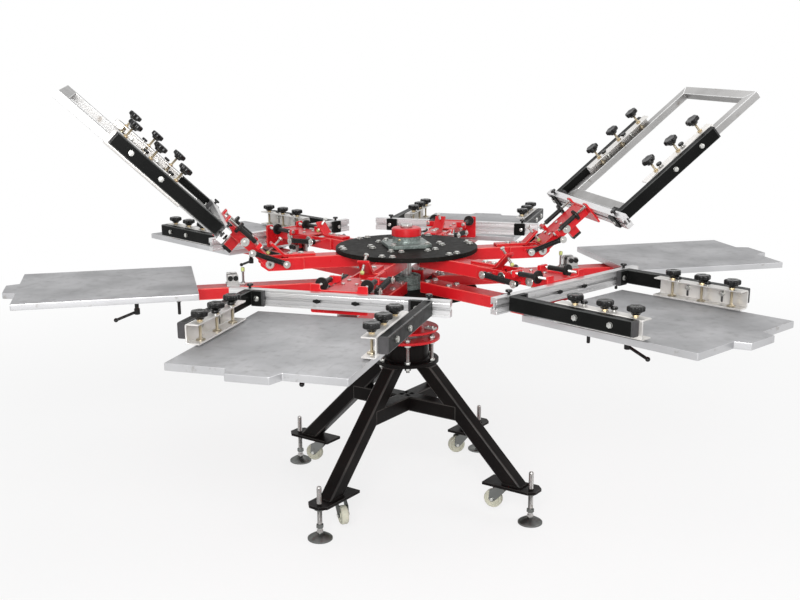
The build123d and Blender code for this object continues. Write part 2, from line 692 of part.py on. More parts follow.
def make_pallet_arms():
    """Six hollow pallet arms with their plugs, disc bolts, lock levers and stop pins."""
    half = PALLET_ARM_WIDTH / 2
    wall = PALLET_ARM_WALL
    arm_x = (PALLET_ARM_START, PALLET_ARM_END)
    arm_z = (PALLET_ARM_BOTTOM, PALLET_ARM_TOP)
    hollow_z = (PALLET_ARM_BOTTOM + wall, PALLET_ARM_TOP - wall)
    arm = block(arm_x, (-half, half), arm_z)
    arm -= block(arm_x, (wall - half, half - wall), hollow_z)
    arm -= disc_bolt_holes(arm_z)
    plug_x = (PALLET_ARM_END - ARM_PLUG_DEPTH, PALLET_ARM_END)
    plug = block(plug_x, (wall - half, half - wall), hollow_z)
    pin = upright(STOP_PIN_X, 0, (PALLET_ARM_BOTTOM - STOP_PIN_DROP, PALLET_ARM_BOTTOM), STOP_PIN_RADIUS)
    pieces = [arm, plug, pin, make_lock_lever()]
    pieces += disc_bolts(PALLET_ARM_TOP, LOWER_DISC_BOTTOM)
    result = []
    for index in range(len(STATION_NAMES)):
        result += at_station(pieces, index)
    return result


def make_lock_lever():
    """The lever under a pallet arm that locks its pallet along the arm."""
    boss_bottom = PALLET_ARM_BOTTOM - LOCK_BOSS_DROP
    boss = upright(LOCK_BOSS_X, 0, (boss_bottom, PALLET_ARM_BOTTOM), LOCK_BOSS_RADIUS)
    root = (LOCK_BOSS_X, 0, boss_bottom + LOCK_BOSS_RADIUS)
    tip = (LOCK_BOSS_X + LOCK_LEVER_REACH, 0, root[2] - LOCK_LEVER_FALL)
    run = Vector(*tip) - Vector(*root)
    middle = Plane(origin=(Vector(*root) + Vector(*tip)) / 2, z_dir=run)
    lever = middle.location * Cylinder(LOCK_LEVER_RADIUS, run.length)
    return boss + lever + Pos(*tip) * Sphere(LOCK_GRIP_RADIUS)


def make_pallets():
    """Six pallets, each a plate with a tapered outer tab, and the brackets under them."""
    half = PALLET_WIDTH / 2
    outer = PALLET_START + PALLET_LENGTH
    outline = [
        (PALLET_START, -half),
        (outer, -half),
        (outer, -TAB_ROOT_WIDTH / 2),
        (outer + TAB_LENGTH, -TAB_END_WIDTH / 2),
        (outer + TAB_LENGTH, TAB_END_WIDTH / 2),
        (outer, TAB_ROOT_WIDTH / 2),
        (outer, half),
        (PALLET_START, half),
    ]
    plate = plan_profile(outline, (-PALLET_THICKNESS, 0))
    plate = fillet(plate.edges().group_by(Axis.Z)[-1], PALLET_EDGE)
    bracket_y = (-BRACKET_WIDTH / 2, BRACKET_WIDTH / 2)
    bracket = block((BRACKET_START, BRACKET_END), bracket_y, (PALLET_ARM_TOP, BRACKET_TOP))
    result = []
    for index in range(len(STATION_NAMES)):
        result += at_station([plate, bracket], index)
    return result


def make_gates():
    """Six registration gates: a base, two fingers with their screws, and a tipped rest post."""
    base_top = PALLET_ARM_TOP + GATE_BASE
    gap = TONGUE_HALF_WIDTH + GATE_PLAY
    half = GATE_LENGTH / 2
    base_y = (-GATE_WIDTH / 2, GATE_WIDTH / 2)
    base = block((GATE_X - half, GATE_X + half), base_y, (PALLET_ARM_TOP, base_top))
    foot_y = (-REST_FOOT_HALF_WIDTH, REST_FOOT_HALF_WIDTH)
    base += block((REST_POST_X - REST_TIP_RADIUS, GATE_X - half), foot_y, (PALLET_ARM_TOP, base_top))
    finger_half = GATE_FINGER_LENGTH / 2
    finger_x = (GATE_X - finger_half, GATE_X + finger_half)
    screw_end = gap + GATE_SCREW_REACH
    finger_y = (gap, gap + GATE_FINGER_WIDTH)
    finger = block(finger_x, finger_y, (base_top, GATE_FINGER_TOP))
    screw_y = (TONGUE_HALF_WIDTH + TOUCH_GAP, screw_end)
    pieces = []
    for x in (GATE_X - finger_half / 2, GATE_X + finger_half / 2):
        finger -= crosswise(x, finger_y, GATE_SCREW_Z, GATE_SCREW_RADIUS)
        screw = crosswise(x, screw_y, GATE_SCREW_Z, GATE_SCREW_RADIUS)
        head_y = (screw_end - GATE_SCREW_HEAD / 2, screw_end)
        pieces.append(screw + crosswise(x, head_y, GATE_SCREW_Z, GATE_SCREW_HEAD))
    pieces = both_sides([finger] + pieces)
    tip_z = (CHANNEL_BOTTOM - TOUCH_GAP - REST_TIP_HEIGHT, CHANNEL_BOTTOM - TOUCH_GAP)
    post = upright(REST_POST_X, 0, (base_top, tip_z[0]), REST_POST_RADIUS)
    tip = upright(REST_POST_X, 0, tip_z, REST_TIP_RADIUS)
    pieces += [base, post, tip]
    result = []
    for index in range(len(STATION_NAMES)):
        result += at_station(pieces, index)
    return result


def make_top_disc():
    """The upper carousel's disc and the bolts that hold the base arms under it."""
    disc_z = (UPPER_DISC_BOTTOM, UPPER_DISC_TOP)
    disc = round_tube(DISC_RADIUS, SHAFT_RADIUS + RUNNING_FIT, disc_z)
    rims = disc.edges().filter_by(GeomType.CIRCLE).sort_by(SortBy.RADIUS)[-2:]
    disc = chamfer(rims, DISC_EDGE) - all_disc_bolt_holes(disc_z)
    pieces = on_axis([disc])
    for index in range(len(STATION_NAMES)):
        pieces += at_station(disc_bolts(UPPER_DISC_TOP, BASE_ARM_TOP - BASE_ARM_WALL), index)
    return pieces


def make_upper_bearing():
    """The square flanged bearing housing on the top disc, with its corner bolts."""
    fit = SHAFT_RADIUS + RUNNING_FIT
    half = FLANGE_SIDE / 2
    flange = block((-half, half), (-half, half), (UPPER_DISC_TOP, FLANGE_TOP))
    flange = chamfer(flange.edges().filter_by(Axis.Z), FLANGE_CORNER)
    housing = flange + upright(0, 0, (FLANGE_TOP, HOUSING_TOP), HOUSING_RADIUS)
    housing -= upright(0, 0, (UPPER_DISC_TOP, HOUSING_TOP), fit)
    pieces = [housing]
    for x in (-FLANGE_BOLT_HALF_PITCH, FLANGE_BOLT_HALF_PITCH):
        for y in (-FLANGE_BOLT_HALF_PITCH, FLANGE_BOLT_HALF_PITCH):
            head_z = (FLANGE_TOP, FLANGE_TOP + BOLT_HEAD_HEIGHT)
            pieces.append(hexagon(x, y, head_z, BOLT_HEAD_RADIUS))
    return on_axis(pieces)


def make_base_arm(name):
    """One base arm with its cheeks, pivot pin, spring pins and stop bracket."""
    half = BASE_ARM_WIDTH / 2
    wall = BASE_ARM_WALL
    arm_x = (BASE_ARM_START, BASE_ARM_END)
    arm = block(arm_x, (-half, half), (BASE_ARM_BOTTOM, BASE_ARM_TOP))
    hollow_z = (BASE_ARM_BOTTOM + wall, BASE_ARM_TOP - wall)
    arm -= block(arm_x, (wall - half, half - wall), hollow_z)
    arm -= disc_bolt_holes((hollow_z[1], BASE_ARM_TOP))
    crown_z = PIVOT_Z + CHEEK_CROWN
    outline = [
        (CHEEK_START, BASE_ARM_BOTTOM),
        (CHEEK_END - CHEEK_CHIN, BASE_ARM_BOTTOM),
        (CHEEK_END, PIVOT_Z + CHEEK_NOSE[0]),
        (CHEEK_END, PIVOT_Z + CHEEK_NOSE[1]),
        (PIVOT_X + CHEEK_CROWN, PIVOT_Z + CHEEK_NOSE[1]),
        (PIVOT_X, crown_z),
        (CHEEK_START, crown_z),
    ]
    spacer_end = CHANNEL_WIDTH / 2 - CHANNEL_WALL - FACE_GAP
    cheek = side_profile(outline, (half, half + CHEEK_WALL))
    cheek += crosswise(PIVOT_X, (half, spacer_end), PIVOT_Z, SPACER_RADIUS)
    cheek -= crosswise(PIVOT_X, (half, spacer_end), PIVOT_Z, PIVOT_RADIUS + RUNNING_FIT)
    cheek += crosswise(SPRING_HUB_X, (half, SPRING_PIN_END), SPRING_HUB_Z, SPRING_PIN_RADIUS)
    cheek += spring_pin_head(SPRING_HUB_X, SPRING_HUB_Z)
    head_start = CHANNEL_WIDTH / 2 + FACE_GAP
    head_y = (head_start, head_start + PIVOT_HEAD)
    pin = crosswise(PIVOT_X, (-head_start, head_start), PIVOT_Z, PIVOT_RADIUS)
    pin += both_sides([crosswise(PIVOT_X, head_y, PIVOT_Z, PIVOT_HEAD_RADIUS)])
    frame = arm + both_sides([cheek])
    return [frame, pin] + make_stop_bracket(name)


def spring_pin_head(x, z):
    """The washer and nut that keep a spring's eye on its pin."""
    washer_y = (SPRING_PIN_END - SPRING_WASHER_THICKNESS, SPRING_PIN_END)
    nut_y = (SPRING_PIN_END, SPRING_PIN_END + SMALL_BOLT_HEAD_HEIGHT)
    washer = crosswise(x, washer_y, z, SPRING_WASHER_RADIUS)
    return washer + crosswise(x, nut_y, z, SMALL_BOLT_HEAD_RADIUS)


def make_stop_bracket(name):
    """The bent strap on a base arm, its bolts, and the screw that stops the raised head."""
    thick = STRAP_THICKNESS
    bend = STRAP_BEND
    top = BASE_ARM_TOP + thick
    lean = math.radians(STRAP_LEAN)
    shift = thick * math.tan(lean / 2)
    end_x = bend + shift + STRAP_RISE / math.tan(lean)
    end_z = BASE_ARM_TOP + STRAP_RISE
    outline = [
        (STRAP_START, BASE_ARM_TOP),
        (bend + shift, BASE_ARM_TOP),
        (end_x, end_z),
        (end_x - thick * math.sin(lean), end_z + thick * math.cos(lean)),
        (bend, top),
        (STRAP_START, top),
    ]
    strap = side_profile(outline, (-STRAP_WIDTH / 2, STRAP_WIDTH / 2))
    axis = stop_axis(name)
    screw_top = STOP_BUMPER_HEIGHT + STOP_SCREW_LENGTH
    strap -= axis * upright(0, 0, (STOP_BUMPER_HEIGHT, screw_top), STOP_SCREW_RADIUS)
    screw = upright(0, 0, (STOP_BUMPER_HEIGHT, screw_top), STOP_SCREW_RADIUS)
    screw += hexagon(0, 0, (screw_top, screw_top + STOP_NUT_HEIGHT), STOP_NUT_RADIUS)
    bumper = upright(0, 0, (0, STOP_BUMPER_HEIGHT), STOP_BUMPER_RADIUS)
    pieces = [strap, axis * screw, axis * bumper]
    for x in STRAP_BOLTS:
        head = hexagon(x, 0, (top, top + SMALL_BOLT_HEAD_HEIGHT), BOLT_HEAD_RADIUS)
        pieces.append(head)
    return pieces


def stop_axis(name):
    """The stop screw's axis, square to the channel's top face when the head is fully raised."""
    tilt = math.radians(full_tilt_of(name))
    across = CHANNEL_TOP - PIVOT_Z + TOUCH_GAP
    x = PIVOT_X + STOP_CONTACT * math.cos(tilt) - across * math.sin(tilt)
    z = PIVOT_Z + STOP_CONTACT * math.sin(tilt) + across * math.cos(tilt)
    return Pos(x, 0, z) * Rot(0, -full_tilt_of(name), 0)


def make_base_arms():
    """Six base arms under the top disc."""
    result = []
    for index, name in enumerate(STATION_NAMES):
        result += at_station(make_base_arm(name), index)
    return result


def make_head_channel():
    """The lowered head's red channel, front plate, spring pins and registration tongue."""
    half = CHANNEL_WIDTH / 2
    wall = CHANNEL_WALL
    outline = [
        (CHANNEL_REAR, PIVOT_Z - CHEEK_CROWN),
        (CHANNEL_REAR, PIVOT_Z + CHANNEL_HEEL_RISE),
        (CHANNEL_REAR + CHANNEL_HEEL_SLOPE, CHANNEL_TOP),
        (CHANNEL_END, CHANNEL_TOP),
        (CHANNEL_END, CHANNEL_BOTTOM),
        (PIVOT_X + CHANNEL_KNEE[1], CHANNEL_BOTTOM),
        (PIVOT_X + CHANNEL_KNEE[0], PIVOT_Z - CHEEK_CROWN),
    ]
    cheek = side_profile(outline, (half - wall, half))
    cheek -= crosswise(PIVOT_X, (half - wall, half), PIVOT_Z, PIVOT_RADIUS + RUNNING_FIT)
    head_x = PIVOT_X + SPRING_HEAD_OFFSET[0]
    head_z = PIVOT_Z + SPRING_HEAD_OFFSET[1]
    cheek += crosswise(head_x, (half - wall, SPRING_PIN_END), head_z, SPRING_PIN_RADIUS)
    cheek += spring_pin_head(head_x, head_z)
    lug_x = (ADJUSTER_START, ADJUSTER_START + ADJUSTER_LUG_LENGTH)
    lug_y = (half - wall, ADJUSTER_Y + ADJUSTER_NUT_RADIUS)
    lug_z = (CHANNEL_TOP - wall, ADJUSTER_Z + ADJUSTER_NUT_RADIUS)
    lug = block(lug_x, lug_y, lug_z)
    lug -= lengthwise(lug_x, ADJUSTER_Y, ADJUSTER_Z, ADJUSTER_ROD_RADIUS)
    web_x = (CHANNEL_WEB_START, CHANNEL_END)
    web = block(web_x, (-half, half), (CHANNEL_TOP - wall, CHANNEL_TOP))
    saddle_z = (CHANNEL_BOTTOM, CHANNEL_BOTTOM + wall)
    saddle = block((SADDLE_START, SADDLE_END), (wall - half, half - wall), saddle_z)
    tongue_y = (-TONGUE_HALF_WIDTH, TONGUE_HALF_WIDTH)
    tongue = block((TONGUE_START, TONGUE_END), tongue_y, (TONGUE_BOTTOM, CHANNEL_TOP - wall))
    channel = web + both_sides([cheek, lug]) + saddle + tongue + make_front_plate()
    shoe_z = (TONGUE_BOTTOM - TONGUE_SHOE, TONGUE_BOTTOM)
    shoe = block((TONGUE_START, TONGUE_END), tongue_y, shoe_z)
    washer_y = (half, half + WASHER_THICKNESS)
    washer = crosswise(WASHER_X, washer_y, WASHER_Z, WASHER_RADIUS)
    stud_y = (half + WASHER_THICKNESS, half + WASHER_THICKNESS + SMALL_BOLT_HEAD_HEIGHT)
    washer += crosswise(WASHER_X, stud_y, WASHER_Z, SMALL_BOLT_HEAD_RADIUS)
    bolts = []
    for x in CHANNEL_BOLT_X:
        for y in (-CHANNEL_BOLT_Y, CHANNEL_BOLT_Y):
            head_top = CHANNEL_TOP + SMALL_BOLT_HEAD_HEIGHT
            bolts.append(upright(x, y, (CHANNEL_TOP, head_top), SMALL_BOLT_HEAD_RADIUS))
    return [channel, shoe] + both_sides([washer]) + bolts


def make_front_plate():
    """The red plate that carries the crossbar, with a raised tab for each adjuster."""
    plate_x = (CHANNEL_END, CHANNEL_END + FRONT_PLATE_THICKNESS)
    reach = FRONT_PLATE_HALF_WIDTH
    plate = block(plate_x, (-reach, reach), (FRONT_PLATE_BOTTOM, FRONT_PLATE_TOP))
    tab_y = (FRONT_TAB_INNER, FRONT_PLATE_HALF_WIDTH)
    plate += both_sides([block(plate_x, tab_y, (FRONT_PLATE_TOP, FRONT_TAB_TOP))])
    for side in (-1, 1):
        plate -= lengthwise(plate_x, side * ADJUSTER_Y, ADJUSTER_Z, ADJUSTER_ROD_RADIUS)
    return plate


def make_micro_adjusters():
    """Two threaded adjusters between the channel's lugs and the front plate's tabs."""
    y = ADJUSTER_Y
    z = ADJUSTER_Z
    end = CHANNEL_END + FRONT_PLATE_THICKNESS
    rod = lengthwise((ADJUSTER_START - ADJUSTER_NUT_HEIGHT, end), y, z, ADJUSTER_ROD_RADIUS)
    nut_x = (ADJUSTER_START - ADJUSTER_NUT_HEIGHT, ADJUSTER_START)
    rod += lengthwise(nut_x, y, z, ADJUSTER_NUT_RADIUS)
    front_nut_x = (CHANNEL_END - ADJUSTER_NUT_HEIGHT, CHANNEL_END)
    rod += lengthwise(front_nut_x, y, z, ADJUSTER_NUT_RADIUS)
    sleeve = lengthwise(ADJUSTER_SLEEVE, y, z, ADJUSTER_SLEEVE_RADIUS)
    sleeve -= lengthwise(ADJUSTER_SLEEVE, y, z, ADJUSTER_ROD_RADIUS)
    knurl = lengthwise(ADJUSTER_KNURL, y, z, ADJUSTER_KNURL_RADIUS)
    knurl -= lengthwise(ADJUSTER_KNURL, y, z, ADJUSTER_ROD_RADIUS)
    return both_sides([rod, sleeve, knurl])


def slot_outline(face, inward):
    """The outline of a T-slot that opens at a face of the crossbar and runs inward."""
    middle = CROSSBAR_BOTTOM + CROSSBAR_HEIGHT / 2
    lip = face + inward * SLOT_LIP
    floor = face + inward * SLOT_DEPTH
    mouth = SLOT_MOUTH / 2
    width = SLOT_WIDTH / 2
    return [
        (face, middle - mouth),
        (lip, middle - mouth),
        (lip, middle - width),
        (floor, middle - width),
        (floor, middle + width),
        (lip, middle + width),
        (lip, middle + mouth),
        (face, middle + mouth),
    ]


def make_crossbar():
    """The slotted crossbar with its slot screws and the clamps that hold the side arms."""
    reach = CROSSBAR_HALF_LENGTH
    bar = block((CROSSBAR_START, CROSSBAR_END), (-reach, reach), (CROSSBAR_BOTTOM, CROSSBAR_TOP))
    bar -= side_profile(slot_outline(CROSSBAR_END, -1), (-reach, reach))
    bar -= side_profile(slot_outline(CROSSBAR_START, 1), (-reach, reach))
    middle = CROSSBAR_BOTTOM + CROSSBAR_HEIGHT / 2
    screw_x = (CROSSBAR_END - SLOT_DEPTH, CROSSBAR_END + SMALL_BOLT_HEAD_HEIGHT)
    screw = lengthwise(screw_x, SLOT_SCREW_Y, middle, SMALL_BOLT_RADIUS)
    head_x = (CROSSBAR_END, CROSSBAR_END + SMALL_BOLT_HEAD_HEIGHT)
    screw += lengthwise(head_x, SLOT_SCREW_Y, middle, SMALL_BOLT_HEAD_RADIUS)
    height = (CROSSBAR_BOTTOM, CROSSBAR_TOP)
    corner_x = (CROSSBAR_END, CROSSBAR_END + CLAMP_BLOCK_DEPTH)
    corner = block(corner_x, (SIDE_ARM_INNER - CLAMP_BLOCK_WIDTH, SIDE_ARM_INNER), height)
    plate_x = (CROSSBAR_START - CLAMP_PLATE_DEPTH, CROSSBAR_START)
    plate_y = (SIDE_ARM_INNER - CLAMP_PLATE_INSET, SIDE_ARM_INNER - CLAMP_PLATE_INSET + CLAMP_PLATE_WIDTH)
    plate = block(plate_x, plate_y, height)
    bolt_y = SIDE_ARM_INNER + SIDE_ARM_WIDTH / 2
    bolt_x = (plate_x[0] - BOLT_HEAD_HEIGHT, plate_x[0])
    bolt = lengthwise(bolt_x, bolt_y, middle, CLAMP_BOLT_HEAD)
    knob_z = (CROSSBAR_TOP, CROSSBAR_TOP + CLAMP_KNOB_HEIGHT)
    knob_x = (CROSSBAR_START + CROSSBAR_END) / 2
    knob = upright(knob_x, bolt_y, knob_z, CLAMP_BOLT_RADIUS)
    cap_z = (knob_z[1] - CLAMP_KNOB_HEIGHT / 2, knob_z[1])
    knob += upright(knob_x, bolt_y, cap_z, CLAMP_KNOB_RADIUS)
    return [bar] + both_sides([screw, corner, plate, bolt, knob])


def make_side_arms():
    """Two tube arms with end caps and, inside each, the channel that holds a screen frame."""
    inner = SIDE_ARM_INNER
    outer = inner + SIDE_ARM_WIDTH
    wall = SIDE_ARM_WALL
    top = SIDE_ARM_BOTTOM + SIDE_ARM_HEIGHT
    arm_x = (CROSSBAR_END, SIDE_ARM_END)
    arm = block(arm_x, (inner, outer), (SIDE_ARM_BOTTOM, top))
    arm -= block(arm_x, (inner + wall, outer - wall), (SIDE_ARM_BOTTOM + wall, top - wall))
    cap_x = (SIDE_ARM_END, SIDE_ARM_END + END_CAP_THICKNESS)
    cap = block(cap_x, (inner, outer), (SIDE_ARM_BOTTOM, top))
    rail = make_screen_rail()
    pieces = [arm, cap, rail]
    middle = SIDE_ARM_BOTTOM + SIDE_ARM_HEIGHT / 2
    for x in RAIL_BOLTS:
        head_y = (outer, outer + RAIL_BOLT_HEAD)
        pieces.append(crosswise(x, head_y, middle, RAIL_BOLT_HEAD_RADIUS))
    for x in CLAMP_SCREW_X:
        nut_z = (RAIL_TOP, RAIL_TOP + BRASS_NUT_HEIGHT)
        nut = hexagon(x, CLAMP_SCREW_Y, nut_z, BRASS_NUT_RADIUS)
        pieces.append(nut - upright(x, CLAMP_SCREW_Y, nut_z, CLAMP_SCREW_RADIUS + RUNNING_FIT))
    for x in SMALL_KNOB_X:
        stem_z = (RAIL_TOP, RAIL_TOP + SMALL_KNOB_STEM)
        knob_z = (stem_z[1], stem_z[1] + SMALL_KNOB_HEIGHT)
        knob = upright(x, SMALL_KNOB_Y, stem_z, CLAMP_SCREW_RADIUS)
        pieces.append(knob + upright(x, SMALL_KNOB_Y, knob_z, SMALL_KNOB_RADIUS))
    return both_sides(pieces)


def make_screen_rail():
    """One C-shaped channel that opens inward, with holes for its clamp screws."""
    outer = SIDE_ARM_INNER
    inner = outer - RAIL_DEPTH
    rail_x = (RAIL_START, RAIL_END)
    rail = block(rail_x, (inner, outer), (RAIL_BOTTOM, RAIL_TOP))
    rail -= block(rail_x, (inner, outer - RAIL_WALL), (RAIL_FLOOR, RAIL_TOP - RAIL_WALL))
    for x in CLAMP_SCREW_X:
        hole_z = (RAIL_TOP - RAIL_WALL, RAIL_TOP)
        rail -= upright(x, CLAMP_SCREW_Y, hole_z, CLAMP_SCREW_RADIUS + BOLT_CLEARANCE)
    return rail


def star_knob():
    """A lobed hand knob on the Z axis, with its neck's lower end at Z = 0."""
    lobe_radius = STAR_KNOB_RADIUS * math.pi / (2 * STAR_LOBES)
    circle = STAR_KNOB_RADIUS - lobe_radius
    body = upright(0, 0, (STAR_KNOB_NECK, STAR_KNOB_NECK + STAR_KNOB_HEIGHT), circle)
    for index in range(STAR_LOBES):
        lobe_z = (STAR_KNOB_NECK, STAR_KNOB_NECK + STAR_KNOB_HEIGHT)
        body += Rot(0, 0, index * 360 / STAR_LOBES) * upright(circle, 0, lobe_z, lobe_radius)
    return body + upright(0, 0, (0, STAR_KNOB_NECK), STAR_KNOB_RADIUS / 2)


def make_clamp_screws(name):
    """Six clamp screws with star knobs, down on a screen frame or on the channels' floors."""
    seat = SCREEN_TOP if name in REST_TILT else RAIL_FLOOR
    bottom = seat + FACE_GAP
    foot = upright(0, 0, (bottom, bottom + CLAMP_FOOT_HEIGHT), CLAMP_FOOT_RADIUS)
    shank_top = bottom + CLAMP_FOOT_HEIGHT + STAR_KNOB_SHANK
    screw = foot + upright(0, 0, (bottom, shank_top + STAR_KNOB_NECK), CLAMP_SCREW_RADIUS)
    screw += Pos(0, 0, shank_top) * star_knob()
    return both_sides([Pos(x, CLAMP_SCREW_Y, 0) * screw for x in CLAMP_SCREW_X])


def make_screen_frame():
    """An empty screen frame of hollow rails, held in the channels of a head."""
    half = SCREEN_HALF_WIDTH
    rail = SCREEN_RAIL
    height = (RAIL_FLOOR, SCREEN_TOP)
    frame = block((SCREEN_START, SCREEN_END), (-half, half), height)
    inside_x = (SCREEN_START + rail, SCREEN_END - rail)
    frame -= block(inside_x, (rail - half, half - rail), height)
    return [frame]


def biarc(start, start_dir, end, end_dir):
    """Two arcs that leave start along start_dir, meet smoothly and reach end along end_dir."""
    span = end - start
    both = start_dir + end_dir
    a = 2 * (1 - start_dir.dot(end_dir))
    b = 2 * span.dot(both)
    c = -span.dot(span)
    reach = (math.sqrt(b * b - 4 * a * c) - b) / (2 * a)
    first = start + start_dir * reach
    second = end - end_dir * reach
    middle = (first + second) / 2
    middle_dir = (second - first).normalized()
    return [
        TangentArc(start, middle, tangent=start_dir),
        TangentArc(middle, end, tangent=middle_dir),
    ]


def spring_path(length):
    """A coil's centre line along X from 0 to length, with its ends straight along X."""
    radius = SPRING_COIL_RADIUS
    straight = 2 * SPRING_WIRE_RADIUS
    lead = straight + SPRING_ENTRY
    advance = (length - 2 * lead) / SPRING_TURNS
    quarters = round(SPRING_TURNS * 4)

    def point(turn):
        angle = 2 * math.pi * turn
        return Vector(lead + advance * turn, radius * math.cos(angle), radius * math.sin(angle))

    def heading(turn):
        angle = 2 * math.pi * turn
        rim = 2 * math.pi * radius
        return Vector(advance, -rim * math.sin(angle), rim * math.cos(angle)).normalized()

    along = Vector(1, 0, 0)
    first_angle = -math.pi / 2
    last_angle = 2 * math.pi * SPRING_TURNS + math.pi / 2
    first = Vector(straight, radius * math.cos(first_angle), radius * math.sin(first_angle))
    last = Vector(length - straight, radius * math.cos(last_angle), radius * math.sin(last_angle))
    edges = [Line(first - along * straight, first)]
    edges += biarc(first, along, point(0), heading(0))
    for index in range(quarters):
        turn = index / 4
        edges += biarc(point(turn), heading(turn), point(turn + 0.25), heading(turn + 0.25))
    edges += biarc(point(SPRING_TURNS), heading(SPRING_TURNS), last, along)
    edges.append(Line(last, last + along * straight))
    return edges


def spring_gap(edges):
    """The least gap between a spring's turns, measured on points along its centre line."""
    points = []
    travelled = 0.0
    for edge in edges:
        for step in range(8):
            points.append((travelled + edge.length * step / 8, edge @ (step / 8)))
        travelled += edge.length
    apart = math.pi * SPRING_COIL_RADIUS
    least = travelled
    for index, (along, point) in enumerate(points):
        for later, other in points[index + 1:]:
            if later - along > apart:
                least = min(least, (other - point).length)
    return least - 2 * SPRING_WIRE_RADIUS


def make_spring(length):
    """One spring along X between two pins, a coil between two end plugs with eyes."""
    coil_length = length - 2 * SPRING_PLUG_END
    edges = spring_path(coil_length)
    start = edges[0] @ 0
    section = Plane(origin=start, z_dir=(1, 0, 0)) * Circle(SPRING_WIRE_RADIUS)
    coil = Pos(SPRING_PLUG_END, 0, 0) * sweep(section, path=Wire(edges))
    print(f"spring {length:.1f} long: least gap between turns {spring_gap(edges):.2f}")
    width = (-SPRING_EYE_WIDTH / 2, SPRING_EYE_WIDTH / 2)
    eye = crosswise(0, width, 0, SPRING_EYE_RADIUS)
    plug = eye + lengthwise((0, SPRING_PLUG_END), 0, 0, SPRING_PLUG_RADIUS)
    plug -= crosswise(0, (-SPRING_PLUG_RADIUS, SPRING_PLUG_RADIUS), 0, SPRING_PIN_RADIUS + FACE_GAP)
    far_plug = Pos(length, 0, 0) * mirror(plug, Plane.YZ)
    return [coil, plug, far_plug]


def make_springs(name):
    """The two springs of a head, from the base arm's pins to the head's pins."""
    tilt = math.radians(tilt_of(name))
    dx, dz = SPRING_HEAD_OFFSET
    head_x = PIVOT_X + dx * math.cos(tilt) - dz * math.sin(tilt)
    head_z = PIVOT_Z + dx * math.sin(tilt) + dz * math.cos(tilt)
    run = Vector(head_x - SPRING_HUB_X, 0, head_z - SPRING_HUB_Z)
    spring = make_spring(run.length)
    hub = (SPRING_HUB_X, SPRING_Y, SPRING_HUB_Z)
    place = Plane(origin=hub, x_dir=run, z_dir=(-run.Z, 0, run.X)).location
    return both_sides([place * piece for piece in spring])


def main():
    """Write every node of the press."""
    os.makedirs("parts", exist_ok=True)
    save("base_frame", make_base_frame())
    save("pedestal", make_pedestal())
    save("bearing_plate", make_bearing_plate())
    save("pedestal_studs", make_pedestal_studs())
    save("main_shaft", make_main_shaft())
    save("hub_cap", make_hub_cap())
    save("levelling_feet", make_levelling_feet())
    for index in range(LEG_COUNT):
        save(f"caster_fork_{index + 1}", make_caster_fork(index))
        save(f"caster_wheel_{index + 1}", make_caster_wheel(index))
    save("lower_hub", make_lower_hub())
    save("pallet_arms", make_pallet_arms())
    save("pallets", make_pallets())
    save("registration_gates", make_gates())
    save("top_disc", make_top_disc())
    save("upper_bearing", make_upper_bearing())
    save("base_arms", make_base_arms())
    for index, name in enumerate(STATION_NAMES):
        parts = {
            "head_channel": make_head_channel(),
            "micro_adjusters": make_micro_adjusters(),
            "crossbar": make_crossbar(),
            "side_arms": make_side_arms(),
            "clamp_screws": make_clamp_screws(name),
        }
        if name in REST_TILT:
            parts["screen_frame"] = make_screen_frame()
        for part, pieces in parts.items():
            save(f"{name}_{part}", at_station(tilted(pieces, name), index))
        save(f"{name}_springs", at_station(make_springs(name), index))


main()
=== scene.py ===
import logging
import math
from collections.abc import Sequence
from dataclasses import dataclass, field
from enum import Enum
from functools import cached_property

import bpy
import bmesh
from mathutils import Matrix, Vector


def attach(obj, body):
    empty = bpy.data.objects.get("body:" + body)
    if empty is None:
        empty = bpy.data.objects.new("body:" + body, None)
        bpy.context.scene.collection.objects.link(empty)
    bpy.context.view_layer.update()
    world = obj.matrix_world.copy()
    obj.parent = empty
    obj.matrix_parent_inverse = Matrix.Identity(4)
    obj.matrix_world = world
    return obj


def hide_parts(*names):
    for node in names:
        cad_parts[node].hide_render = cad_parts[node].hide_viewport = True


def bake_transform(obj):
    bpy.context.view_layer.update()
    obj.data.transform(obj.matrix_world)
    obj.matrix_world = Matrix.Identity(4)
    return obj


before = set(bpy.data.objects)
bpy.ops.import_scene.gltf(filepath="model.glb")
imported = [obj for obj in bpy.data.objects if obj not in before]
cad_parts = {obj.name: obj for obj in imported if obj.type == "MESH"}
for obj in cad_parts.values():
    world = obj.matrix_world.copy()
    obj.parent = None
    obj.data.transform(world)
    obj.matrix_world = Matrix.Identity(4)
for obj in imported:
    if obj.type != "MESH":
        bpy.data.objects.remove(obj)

LOG = logging.getLogger("press")
OWN = "own_place"

# The machine's own lengths are in millimetres, those of finishes and studio in metres.
MM = 0.001
HERE = Matrix.Identity(4)

# A station's own frame: x runs along its arm and z upwards from the pallets' top.
PALLET_TOP = 774.5
STATION_COUNT = 6
PIVOT = (449.5, 44.0)
SPRING_PIN = (400.0, 46.0)
SPRING_PIN_END = 75.3
WASHER_HEIGHT = 1.2

# How far each copy's marks are moved on from the last one's, in metres.
COPY_SHIFT = (1.37, 0.73, 0.31)

Span = tuple[float, float]
Point = tuple[float, float, float]
Outline = list[tuple[float, float]]
Colour = tuple[float, float, float]


# Shader nodes


